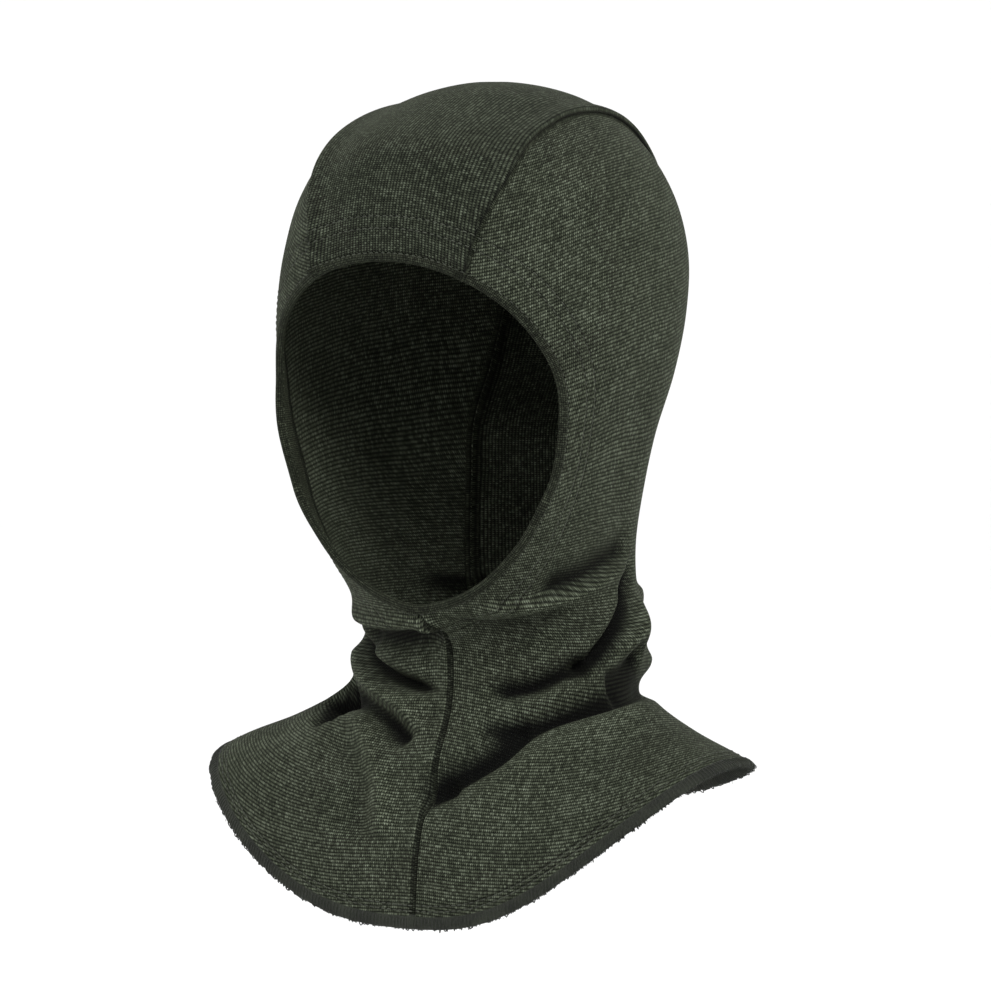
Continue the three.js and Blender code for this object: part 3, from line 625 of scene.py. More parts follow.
def mesh_object(name: str, points: Array, faces: Array, layers: dict[str, Array],
                material: bpy.types.Material) -> bpy.types.Object:
    """A smooth-shaded object from points and quads, its faces turned outward.

    Args:
        name: the object's name.
        points: its vertices.
        faces: rows of four indices, where two alike make a triangle.
        layers: two values for each vertex under each name: "knit" is the place on the knit in metres, "lie"
        is painted shade, deep in a fold or beside a seam, and painted highlight, high on a fold, from 0 to 1, and
        "rims" is the distance from the face opening's and the lower edge.
        material: its finish.

    Returns:
        The object, linked to the scene.
    """
    quads = faces[(faces[:, 0] != faces[:, 1]) & (faces[:, 2] != faces[:, 3])]
    a, b, c, d = (points[quads[:, k]] for k in range(4))
    volume = dot(a, np.cross(b, c)).sum() + dot(a, np.cross(c, d)).sum()
    rows = quads if volume > 0 else quads[:, ::-1]
    polygons = [list(dict.fromkeys(row)) for row in rows.tolist()]
    used = np.unique(quads)
    index = np.zeros(len(points), int)
    index[used] = np.arange(len(used))
    mesh = bpy.data.meshes.new(name)
    mesh.from_pydata(points[used].tolist(), [], [[int(index[k]) for k in row] for row in polygons])
    corners = np.zeros(len(mesh.loops), int)
    mesh.loops.foreach_get("vertex_index", corners)
    for key, values in layers.items():
        layer = mesh.uv_layers.new(name=key)
        layer.data.foreach_set("uv", values.reshape(-1, 2)[used][corners].astype(np.float32).ravel())
    mesh.shade_smooth()
    mesh.materials.append(material)
    obj = bpy.data.objects.new(name, mesh)
    bpy.context.scene.collection.objects.link(obj)
    return obj


def wall_faces(rows: int, columns: int, pinched: bool) -> Array:
    """Quads of a closed wall between an outer and an inner grid of points.

    Args:
        rows: rows of each grid.
        columns: columns of each grid.
        pinched: whether the first row is one point.

    Returns:
        Rows of four indices, the outer grid's first.
    """
    outer = np.arange(rows * columns).reshape(rows, columns)
    if pinched:
        outer[0] = outer[0, 0]
    inner = outer + rows * columns

    def quads(a: Array, b: Array, c: Array, d: Array) -> Array:
        """Rows of four indices from four arrays."""
        return np.stack([a.ravel(), b.ravel(), c.ravel(), d.ravel()], axis=1)

    return np.vstack([
        quads(outer[:-1, :-1], outer[1:, :-1], outer[1:, 1:], outer[:-1, 1:]),
        quads(inner[:-1, :-1], inner[:-1, 1:], inner[1:, 1:], inner[1:, :-1]),
        quads(outer[:-1, 0], inner[:-1, 0], inner[1:, 0], outer[1:, 0]),
        quads(outer[1:, -1], inner[1:, -1], inner[:-1, -1], outer[:-1, -1]),
        quads(outer[0, 1:], inner[0, 1:], inner[0, :-1], outer[0, :-1]),
        quads(outer[-1, :-1], inner[-1, :-1], inner[-1, 1:], outer[-1, 1:]),
    ])


def tube_faces(count: int, sides: int, closed: bool) -> Array:
    """Quads of a tube of sections round a line, which closes on itself or has flat ends.

    Args:
        count: sections along the line.
        sides: points in a section, an even number.
        closed: whether the line is a loop.

    Returns:
        Rows of four indices.
    """
    i, j = np.meshgrid(np.arange(count if closed else count - 1), np.arange(sides), indexing="ij")
    after, beside = (i + 1) % count, (j + 1) % sides
    body = np.stack([i * sides + j, i * sides + beside, after * sides + beside, after * sides + j], axis=-1)
    faces = [body.reshape(-1, 4)]
    if not closed:
        for start, turned in ((0, True), ((count - 1) * sides, False)):
            cap = np.array([[start + k, start + k + 1, start + sides - 2 - k, start + sides - 1 - k]
                            for k in range(sides // 2 - 1)])
            faces.append(cap[:, ::-1] if turned else cap)
    return np.vstack(faces)


def arc(points: Array, closed: bool = False) -> Array:
    """Distance along a line of points, along the first axis."""
    run = np.linalg.norm(np.diff(points, axis=0), axis=-1)
    return np.concatenate([np.zeros((1,) + run.shape[1:]), np.cumsum(run, axis=0)])


@dataclass
class Panels:
    """The crown strip and the two side panels."""

    cloth: Cloth
    crown_columns: int = 56
    crown_front_rows: int = 100
    crown_back_rows: int = 250
    side_columns: int = 150
    top_rows: int = 40
    opening_rows: int = 110
    neck_rows: int = 150
    edge_crowding: float = 0.75
    lip_depth: float = 0.0016
    lip_reach: float = 0.0014
    # Painted shadow along the sewn edges: how dark it is and how far it reaches.
    seam_shadow: float = 0.85
    shadow_reach: float = 0.0011
    temple_slope: float = 0.14
    temple_from: float = -0.03
    temple_reach: float = 0.10

    def _crowded(self, columns: int) -> Array:
        """Shares from 0 to 1 that lie closer together at both ends."""
        t = np.linspace(0, 1, columns + 1)
        return t - self.edge_crowding * np.sin(2 * math.pi * t) / (2 * math.pi)

    def _build(self, name: str, piece: Piece, places: tuple[Array, Array], turned_in: Array, uv: Array,
               pinched: bool, material: bpy.types.Material) -> bpy.types.Object:
        """One panel, a wall of cloth whose sewn edges turn in.

        Args:
            name: the object's name.
            piece: which panel it is.
            places: grids of azimuths and levels.
            turned_in: distance of each place from the nearest sewn edge.
            uv: knit coordinates of each place.
            pinched: whether the first row is one point.
            material: its finish.

        Returns:
            The object.
        """
        azimuth, level = places
        lip = -self.lip_depth * (1 - smooth(turned_in / self.lip_reach))
        inner = self.cloth.at(azimuth, level, lip, piece)
        _, _, out = self.cloth.form.directions(azimuth, level)
        outer = inner + out * self.cloth.thickness
        points = np.concatenate([outer.reshape(-1, 3), inner.reshape(-1, 3)])
        faces = wall_faces(*azimuth.shape, pinched)
        # Painted shade in the folds and painted highlight on their crests; on the outer face the painted shadow along
        # the sewn edges is joined in, and the inner face takes shade and highlight the other way round.
        lie = self.cloth.lie(azimuth, level)
        shadow = self.seam_shadow * (1 - smooth(turned_in / self.shadow_reach))
        outside = np.stack([np.maximum(lie[..., 0], shadow), lie[..., 1]], axis=-1)
        form = self.cloth.form
        places = form.point(azimuth, level)
        opening = form.point(*self.cloth.pattern.opening_loop(1200))
        hem = form.point(np.linspace(0, 2 * math.pi, 1600), 1.0)
        rims = np.stack([distance_to(places, opening), distance_to(places, hem)], axis=-1)
        layers = {"knit": np.stack([uv, uv]), "lie": np.stack([outside, lie[..., ::-1]]),
                  "rims": np.stack([rims, rims + 1])}
        return mesh_object(name, points, faces, layers, material)

    def crown(self, material: bpy.types.Material) -> bpy.types.Object:
        """The strip from the brow over the crown and down the back."""
        along = np.concatenate([np.linspace(-1, 0, self.crown_front_rows, endpoint=False),
                                np.linspace(0, 1, self.crown_back_rows)])
        across = 2 * self._crowded(self.crown_columns) - 1
        grid = np.broadcast_arrays(across[None, :], along[:, None])
        azimuth, level = self.cloth.pattern.crown_place(grid[0], grid[1])
        points = self.cloth.form.point(azimuth, level)
        run = arc(points.swapaxes(0, 1)).T
        edge = np.minimum(run, run[:, -1:] - run)
        edge = np.minimum(edge, arc(points))
        length = arc(points)[:, self.crown_columns // 2]
        uv = np.stack([np.broadcast_to(length[:, None], azimuth.shape), points[..., 0]], axis=-1)
        return self._build("crown_panel_cloth", Piece.CROWN, (azimuth, level), edge, uv, False, material)

    def side(self, piece: Piece, material: bpy.types.Material) -> bpy.types.Object:
        """The panel of the wearer's left or right."""
        sign = 1 if piece is Piece.LEFT else -1
        ends = self.cloth.pattern.side_ends(self.top_rows, self.opening_rows, self.neck_rows, sign)
        front_a, front_l, back_a, back_l = ends
        share = self._crowded(self.side_columns)[None, :]
        azimuth = sign * (front_a[:, None] + (back_a - front_a)[:, None] * share)
        level = front_l[:, None] + (back_l - front_l)[:, None] * share
        points = self.cloth.form.point(azimuth, level)
        run = arc(points.swapaxes(0, 1)).T
        edge = np.minimum(run, run[:, -1:] - run)
        edge = np.minimum(edge, arc(points)[:, :1] + run)
        u, v = self.cloth.knit_place(azimuth, level)
        temple = smooth((self.temple_from - v) / self.temple_reach)
        uv = np.stack([u, v + self.temple_slope * temple * np.abs(u)], axis=-1)
        name = f"side_panel_{piece.value}_cloth"
        return self._build(name, piece, (azimuth, level), edge, uv, True, material)


@dataclass
class FaceEdge:
    """The rolled edge of the face opening, with the facing that is turned in behind it."""

    cloth: Cloth
    roll_width: float = 0.0035
    roll_height: float = 0.0019
    facing_width: float = 0.0126
    facing_cloth: float = 0.0010
    facing_gap: float = 0.0003
    overlap: float = 0.0004
    sections: int = 560
    corner_bump: float = 0.0006
    corner_reach: float = 0.0035

    def profile(self) -> Array:
        """Corners of the edge's section: the way into the cloth from the cut edge, and the height."""
        under = -self.facing_gap
        deep = under - self.facing_cloth
        top = self.roll_height
        turn = np.linspace(0, math.pi, 9)
        middle = (top + deep) / 2
        nose = [(self.overlap - self.roll_width * (0.35 + 0.65 * math.sin(t)) * (1 if 0 < t < math.pi else 0.35),
                 middle + (top - middle) * math.cos(t)) for t in turn]
        return np.array([(self.facing_width, deep), (self.facing_width, under), (self.facing_width / 2, under),
                         (self.overlap, under), (self.overlap, top * 0.75), *nose, (self.overlap, deep),
                         (self.facing_width / 2, deep), (self.facing_width * 0.75, deep)])

    def build(self, material: bpy.types.Material) -> bpy.types.Object:
        """The closed ring of the rolled edge and its facing."""
        azimuth, level = self.cloth.pattern.opening_loop(self.sections)
        x = self.cloth.form.point(azimuth, level)[:, 0]
        at_brow = level < self.cloth.pattern.corner_level + 0.02
        bump = self.corner_bump * at_brow * np.exp(
            -((np.abs(x) - self.cloth.pattern.brow_half) / self.corner_reach) ** 2)
        rings = []
        for reach, height in self.profile():
            places = self.cloth.form.beside(azimuth, level, reach, True)
            rings.append(self.cloth.at(*places, height + bump))
        points = np.stack(rings, axis=1)
        run = arc(points[:, 0])
        across = arc(points[0])
        uv = np.stack(np.broadcast_arrays(across[None, :], run[:, None]), axis=-1)
        faces = tube_faces(self.sections, len(rings), True)
        return mesh_object("face_edge_roll", points.reshape(-1, 3), faces, {"knit": uv}, material)


@dataclass
class LowerEdge:
    """The overlocked lower edge: a soft core round the cut edge, which the threads then cover."""

    cloth: Cloth
    width: float = 0.0030
    cover: float = 0.0030
    proud: float = 0.00025
    sections: int = 900
    sides: int = 14

    def loop(self, count: int) -> tuple[Array, Array]:
        """Evenly spaced places round the lower edge, from the front round the wearer's left."""
        azimuth = np.linspace(0, 2 * math.pi, 1441)
        points = self.cloth.form.point(azimuth, np.ones_like(azimuth))
        run = arc(points)
        even = np.linspace(0, run[-1], count, endpoint=False)
        return np.interp(even, run, azimuth), np.ones(count)

    def section_frame(self, count: int) -> tuple[Array, Array, Array]:
        """Feet of the cut edge's inner face, with the directions down past the edge and out of the cloth."""
        azimuth, level = self.loop(count)
        foot = self.cloth.at(azimuth, level, np.zeros(count))
        above = self.cloth.at(azimuth, level - 0.01, np.zeros(count))
        _, _, out = self.cloth.form.directions(azimuth, level)
        down = foot - above
        down = unit(down - out * dot(down, out)[:, None])
        return foot, down, out

    def core(self, material: bpy.types.Material) -> bpy.types.Object:
        """The closed ring of the edge's core."""
        foot, down, out = self.section_frame(self.sections)
        turn = np.linspace(0, 2 * math.pi, self.sides, endpoint=False)
        half = (self.width + self.cover) / 2
        reach = self.width - half + half * np.cos(turn)
        tall = self.cloth.thickness / 2 + self.proud
        height = self.cloth.thickness / 2 + tall * np.sign(np.sin(turn)) * np.abs(np.sin(turn)) ** 0.6
        points = foot[:, None] + down[:, None] * reach[None, :, None] + out[:, None] * height[None, :, None]
        uv = np.stack(np.broadcast_arrays(turn[None, :] * half / math.pi, arc(foot)[:, None]), axis=-1)
        faces = tube_faces(self.sections, self.sides, True)
        return mesh_object("lower_edge_core", points.reshape(-1, 3), faces, {"knit": uv}, material)


class Wire:
    """A socket of a node tree, on which arithmetic adds Math nodes."""

    def __init__(self, graph: Graph, socket: bpy.types.NodeSocket) -> None:
        """Wraps one output socket of a graph."""
        self.graph = graph
        self.socket = socket

    def __add__(self, other: Value) -> Wire:
        """Sum."""
        return self.graph.math("ADD", self, other)

    def __sub__(self, other: Value) -> Wire:
        """Difference."""
        return self.graph.math("SUBTRACT", self, other)

    def __mul__(self, other: Value) -> Wire:
        """Product."""
        return self.graph.math("MULTIPLY", self, other)

    def __truediv__(self, other: Value) -> Wire:
        """Quotient."""
        return self.graph.math("DIVIDE", self, other)

    def __pow__(self, other: Value) -> Wire:
        """Power."""
        return self.graph.math("POWER", self, other)

    def __rsub__(self, other: Value) -> Wire:
        """Difference from a number."""
        return self.graph.math("SUBTRACT", other, self)

    def __rtruediv__(self, other: Value) -> Wire:
        """Quotient of a number."""
        return self.graph.math("DIVIDE", other, self)

    __radd__ = __add__
    __rmul__ = __mul__


Value = Union[Wire, float]


class Made:
    """A node that was added, whose outputs are read by name or number."""

    def __init__(self, graph: Graph, node: bpy.types.Node) -> None:
        """Wraps one node of a graph."""
        self.graph = graph
        self.node = node

    def __getitem__(self, key: Union[str, int]) -> Wire:
        """One output."""
        return Wire(self.graph, self.node.outputs[key])


class Graph:
    """Adds nodes to one tree."""

    def __init__(self, tree: bpy.types.NodeTree) -> None:
        """Starts on an empty tree."""
        self.tree = tree
        tree.nodes.clear()

    def add(self, kind: str, settings: dict[str, Any] | None = None,
            inputs: dict[Union[str, int], Any] | None = None) -> Made:
        """One node of any kind.

        Args:
            kind: the node's type.
            settings: its properties, set first; stops is a ramp's list of places and colours.
            inputs: values or wires for its sockets.

        Returns:
            The node.
        """
        node = self.tree.nodes.new(kind)
        for name, value in (settings or {}).items():
            if name == "stops":
                self._stops(node.color_ramp, value)
            else:
                setattr(node, name, value)
        for key, value in (inputs or {}).items():
            if isinstance(value, Wire):
                self.tree.links.new(value.socket, node.inputs[key])
            else:
                node.inputs[key].default_value = value
        return Made(self, node)

    @staticmethod
    def _stops(ramp: bpy.types.ColorRamp, stops: Sequence[tuple[float, Colour]]) -> None:
        """Sets a ramp's stops."""
        while len(ramp.elements) < len(stops):
            ramp.elements.new(0.5)
        for element, (place, colour) in zip(ramp.elements, stops):
            element.position = place
            element.color = (*colour, 1.0)

    def math(self, operation: str, *values: Value) -> Wire:
        """A Math node on wires and numbers."""
        return self.add("ShaderNodeMath", {"operation": operation}, dict(enumerate(values)))["Value"]


@dataclass(frozen=True)
class KnitFinish:
    """Fine heathered jersey: rows of loops, mottled yarn and a soft sheen."""

    name: str
    shadow: Colour
    body: Colour
    fleck: Colour
    course: float = 0.00140
    wale: float = 0.00094
    slant: float = 0.5
    relief: float = 0.00030
    streak_length: float = 0.0040
    streak_height: float = 0.0024
    cloud: float = 0.022
    wander: float = 0.0008
    # Painted shade in the folds' hollows and painted highlight on their crests, as shares of the colour.
    hollow_shade: float = 0.97
    crest_light: float = 0.25
    face_rows: tuple[float, ...] = (0.0105, 0.0155)
    hem_rows: tuple[float, ...] = (0.0045, 0.0068)
    row_reach: float = 0.0007
    # row_shade is painted shade in the grooves of the stitch rows.
    row_shade: float = 0.55
    roughness: float = 0.92
    sheen: float = 0.04
    sheen_roughness: float = 0.38
    sheen_tint: Colour = (0.62, 0.70, 0.44)
    gloss: float = 0.08

    def material(self) -> bpy.types.Material:
        """The material, which follows the knit coordinates, with painted shade in the folds, along the seams and in the
        stitch rows, and painted highlight on the folds' crests.
        """
        made = bpy.data.materials.new(self.name)
        made.use_nodes = True
        g = Graph(made.node_tree)
        place = g.add("ShaderNodeUVMap", {"uv_map": "knit"})["UV"]
        axes = g.add("ShaderNodeSeparateXYZ", inputs={0: place})
        u, v = axes["X"], axes["Y"]
        sway = self._noise(g, u / 0.03, v / 0.03, 1.0, 2.0)
        v = v + (sway - 0.5) * self.wander * 2
        column = g.math("COSINE", u / self.wale * (2 * math.pi)) * 0.5 + 0.5
        lean = g.math("PINGPONG", u / self.wale, 0.5) * self.slant
        row = g.math("COSINE", (v / self.course + lean) * (2 * math.pi)) * 0.5 + 0.5
        loops = row * column * 0.6 + row * 0.28 + column * 0.12
        cell = g.add("ShaderNodeCombineXYZ", inputs={
            0: g.math("FLOOR", u / self.wale + 0.5), 1: g.math("FLOOR", v / self.course + 0.5)})["Vector"]
        dye = g.add("ShaderNodeTexWhiteNoise", {"noise_dimensions": "2D"}, {"Vector": cell})["Value"]
        streak = self._noise(g, u / self.streak_length, v / self.streak_height, 1.0, 3.0)
        fine = self._noise(g, u / 0.0011, v / 0.0009, 7.0, 2.0)
        cloud = self._noise(g, u / self.cloud, v / self.cloud, 3.0, 3.0)
        heather = g.add("ShaderNodeMapRange", inputs={
            0: streak * 0.26 + fine * 0.38 + cloud * 0.20 + dye * 0.16, 1: 0.32, 2: 0.70, 3: 0.0, 4: 1.0})["Result"]
        yarn = g.add("ShaderNodeValToRGB", {"stops": [(0.0, self.shadow), (0.45, self.body), (1.0, self.fleck)]},
                     {0: heather})["Color"]
        # Painted shade in the folds and along the seams, and painted highlight on the folds' crests.
        lie = g.add("ShaderNodeSeparateXYZ", inputs={0: g.add("ShaderNodeUVMap", {"uv_map": "lie"})["UV"]})
        folds = (1 - lie["X"] * self.hollow_shade) * (lie["Y"] * self.crest_light + 1)
        rims = g.add("ShaderNodeSeparateXYZ", inputs={0: g.add("ShaderNodeUVMap", {"uv_map": "rims"})["UV"]})
        # How near the stitch rows are: painted shade in their grooves, and a dip in the bump.
        sunk = self._rows(g, rims["X"], self.face_rows) + self._rows(g, rims["Y"], self.hem_rows)
        shade = (loops * (dye * 0.4 + 0.8) * 2.75 + 0.06) * folds * (1 - sunk * self.row_shade)
        lit = g.add("ShaderNodeVectorMath", {"operation": "SCALE"}, {0: yarn, "Scale": shade})["Vector"]
        bump = g.add("ShaderNodeBump", inputs={
            "Strength": 1.0, "Distance": self.relief, "Height": loops + fine * 0.35 - sunk * 2})["Normal"]
        shader = g.add("ShaderNodeBsdfPrincipled", inputs={
            "Base Color": lit, "Roughness": self.roughness, "Sheen Weight": self.sheen,
            "Sheen Roughness": self.sheen_roughness, "Sheen Tint": (*self.sheen_tint, 1.0),
            "Specular IOR Level": self.gloss, "Normal": bump})["BSDF"]
        g.add("ShaderNodeOutputMaterial", inputs={"Surface": shader})
        return made

    def _rows(self, g: Graph, away: Wire, rows: Sequence[float]) -> Wire:
        """How near a place is to any of some rows of stitches, from 0 to 1 on one of them."""
        total = away * 0
        for row in rows:
            near = g.math("ABSOLUTE", away - row) / self.row_reach
            total = total + g.math("MAXIMUM", 1 - near, 0.0)
        return total

    @staticmethod
    def _noise(g: Graph, x: Value, y: Value, z: float, detail: float) -> Wire:
        """Noise on two coordinates, from a slice of its own."""
        where = g.add("ShaderNodeCombineXYZ", inputs={0: x, 1: y, 2: z})["Vector"]
        return g.add("ShaderNodeTexNoise", inputs={"Vector": where, "Scale": 1.0, "Detail": detail})[0]


@dataclass(frozen=True)
class ThreadFinish:
    """Twisted sewing thread, with strands and stray fibres."""

    name: str
    body: Colour
    fleck: Colour
    grain: float = 0.00025
    roughness: float = 0.85
    sheen: float = 0.04

    def material(self) -> bpy.types.Material:
        """The material, on object coordinates."""
        made = bpy.data.materials.new(self.name)
        made.use_nodes = True
        g = Graph(made.node_tree)
        place = g.add("ShaderNodeTexCoord")["Object"]
        noise = g.add("ShaderNodeTexNoise", inputs={"Vector": place, "Scale": 0.4 / self.grain, "Detail": 3.0})[0]
        patch = g.add("ShaderNodeTexNoise", inputs={"Vector": place, "Scale": 0.03 / self.grain, "Detail": 1.0})[0]
        dye = g.add("ShaderNodeValToRGB", {"stops": [(0.35, self.body), (0.7, self.fleck)]},
                    {0: noise * 0.6 + patch * 0.4})["Color"]
        bump = g.add("ShaderNodeBump", inputs={"Strength": 0.8, "Distance": self.grain, "Height": noise})["Normal"]
        shader = g.add("ShaderNodeBsdfPrincipled", inputs={
            "Base Color": dye, "Roughness": self.roughness, "Sheen Weight": self.sheen,
            "Specular IOR Level": 0.25, "Normal": bump})["BSDF"]
        g.add("ShaderNodeOutputMaterial", inputs={"Surface": shader})
        return made


def dress(obj: bpy.types.Object, slot: str, *nodes: str) -> bpy.types.Object:
    """Puts a finished piece on the hood's body, logs it with its slot's name and hides the nodes that it stands for."""
    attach(obj, BODY)
    if nodes:
        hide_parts(*nodes)
    LOG.info("%s: %d faces, slot %s", obj.name, len(obj.data.polygons), slot)
    return obj


class NodeShape:
    """A Geometry Nodes tree with named inputs, turned to a plain mesh on a carrier of points or lines."""

    def __init__(self, name: str, sizes: dict[str, float]) -> None:
        """Makes the tree's interface: a geometry, a material and named sizes."""
        self.tree = bpy.data.node_groups.new(name, "GeometryNodeTree")
        face = self.tree.interface
        face.new_socket("Geometry", in_out="INPUT", socket_type="NodeSocketGeometry")
        face.new_socket("Material", in_out="INPUT", socket_type="NodeSocketMaterial")
        for key, value in sizes.items():
            socket = face.new_socket(key, in_out="INPUT", socket_type="NodeSocketFloat")
            socket.default_value = value
        face.new_socket("Geometry", in_out="OUTPUT", socket_type="NodeSocketGeometry")
        self.graph = Graph(self.tree)
        self.source = self.graph.add("NodeGroupInput")

    def end(self, geometry: Wire) -> None:
        """Ends the tree in real geometry with its material."""
        real = self.graph.add("GeometryNodeRealizeInstances", inputs={"Geometry": geometry})["Geometry"]
        dyed = self.graph.add("GeometryNodeSetMaterial", inputs={
            "Geometry": real, "Material": self.source["Material"]})["Geometry"]
        self.graph.add("NodeGroupOutput", inputs={0: dyed})

    def run(self, name: str, carrier: bpy.types.Mesh, material: bpy.types.Material,
            sizes: dict[str, float]) -> bpy.types.Object:
        """The tree's result on one carrier, as a plain mesh.

        Args:
            name: name of the new object.
            carrier: points or lines with the attributes that the tree reads.
            material: the finish.
            sizes: values for the named inputs.

        Returns:
            The object, without its modifier.
        """
        holder = bpy.data.objects.new(name, carrier)
        bpy.context.scene.collection.objects.link(holder)
        modifier = holder.modifiers.new("Shape", "NODES")
        modifier.node_group = self.tree
        keys = {item.name: item.identifier for item in self.tree.interface.items_tree if item.in_out == "INPUT"}
        modifier[keys["Material"]] = material
        for key, value in sizes.items():
            modifier[keys[key]] = value
        seen = holder.evaluated_get(bpy.context.evaluated_depsgraph_get())
        mesh = bpy.data.meshes.new_from_object(seen)
        holder.modifiers.clear()
        holder.data = mesh
        mesh.name = name
        mesh.shade_smooth()
        return holder


def carrier(name: str, points: Array, edges: Sequence[tuple[int, int]], vectors: dict[str, Array],
            values: dict[str, Array] | None = None) -> bpy.types.Mesh:
    """A mesh of points or lines with named attributes for a tree to read."""
    mesh = bpy.data.meshes.new(name)
    mesh.from_pydata(points.tolist(), list(edges), [])
    for key, rows in vectors.items():
        mesh.attributes.new(key, "FLOAT_VECTOR", "POINT").data.foreach_set("vector", rows.astype(np.float32).ravel())
    for key, rows in (values or {}).items():
        mesh.attributes.new(key, "FLOAT", "POINT").data.foreach_set("value", rows.astype(np.float32))
    return mesh


def stitch_shape() -> NodeShape:
    """A tree that lays a short thread at each point, along its run and on top of its outward direction."""
    shape = NodeShape("StitchRow", {"Length": 0.002, "Width": 0.0005, "Height": 0.0004, "Turn": 0.1, "Seed": 7.0})
    g, source = shape.graph, shape.source
    bead = g.add("GeometryNodeMeshUVSphere", inputs={"Segments": 8, "Rings": 6, "Radius": 0.5})["Mesh"]
    size = g.add("ShaderNodeCombineXYZ", inputs={0: source["Length"], 1: source["Width"], 2: source["Height"]})
    thread = g.add("GeometryNodeTransform", inputs={"Geometry": bead, "Scale": size["Vector"]})["Geometry"]
    run = g.add("GeometryNodeInputNamedAttribute", {"data_type": "FLOAT_VECTOR"}, {"Name": "run"})["Attribute"]
    out = g.add("GeometryNodeInputNamedAttribute", {"data_type": "FLOAT_VECTOR"}, {"Name": "out"})["Attribute"]
    upright = g.add("FunctionNodeAlignRotationToVector", {"axis": "Z"}, {"Vector": out})["Rotation"]
    lying = g.add("FunctionNodeAlignRotationToVector", {"axis": "X", "pivot_axis": "Z"},
                  {"Rotation": upright, "Vector": run})["Rotation"]
    turn = g.add("FunctionNodeRandomValue", {"data_type": "FLOAT"},
                 {2: source["Turn"] * -1, 3: source["Turn"], "Seed": source["Seed"]})[1]
    yaw = g.add("ShaderNodeCombineXYZ", inputs={2: turn})["Vector"]
    turned = g.add("FunctionNodeRotateRotation", {"rotation_space": "LOCAL"}, {0: lying, 1: yaw})["Rotation"]
    laid = g.add("GeometryNodeInstanceOnPoints", inputs={
        "Points": source["Geometry"], "Instance": thread, "Rotation": turned})["Instances"]
    shape.end(laid)
    return shape


def thread_shape() -> NodeShape:
    """A tree that turns lines into round threads, as thick as each point's own share says."""
    shape = NodeShape("Threads", {"Radius": 0.0003})
    g, source = shape.graph, shape.source
    line = g.add("GeometryNodeMeshToCurve", inputs={"Mesh": source["Geometry"]})["Curve"]
    ring = g.add("GeometryNodeCurvePrimitiveCircle", inputs={"Resolution": 5, "Radius": source["Radius"]})["Curve"]
    share = g.add("GeometryNodeInputNamedAttribute", {"data_type": "FLOAT"}, {"Name": "share"})["Attribute"]
    sized = g.add("GeometryNodeSetCurveRadius", inputs={"Curve": line, "Radius": share})["Curve"]
    keys = {"Curve": sized, "Profile Curve": ring, "Fill Caps": True}
    shape.end(g.add("GeometryNodeCurveToMesh", inputs=keys)["Mesh"])
    return shape


def chains(lines: Array) -> tuple[Array, list[tuple[int, int]]]:
    """Points and edges of many lines with the same number of points each."""
    count, size = lines.shape[:2]
    edges = [(i * size + j, i * size + j + 1) for i in range(count) for j in range(size - 1)]
    return lines.reshape(-1, 3), edges


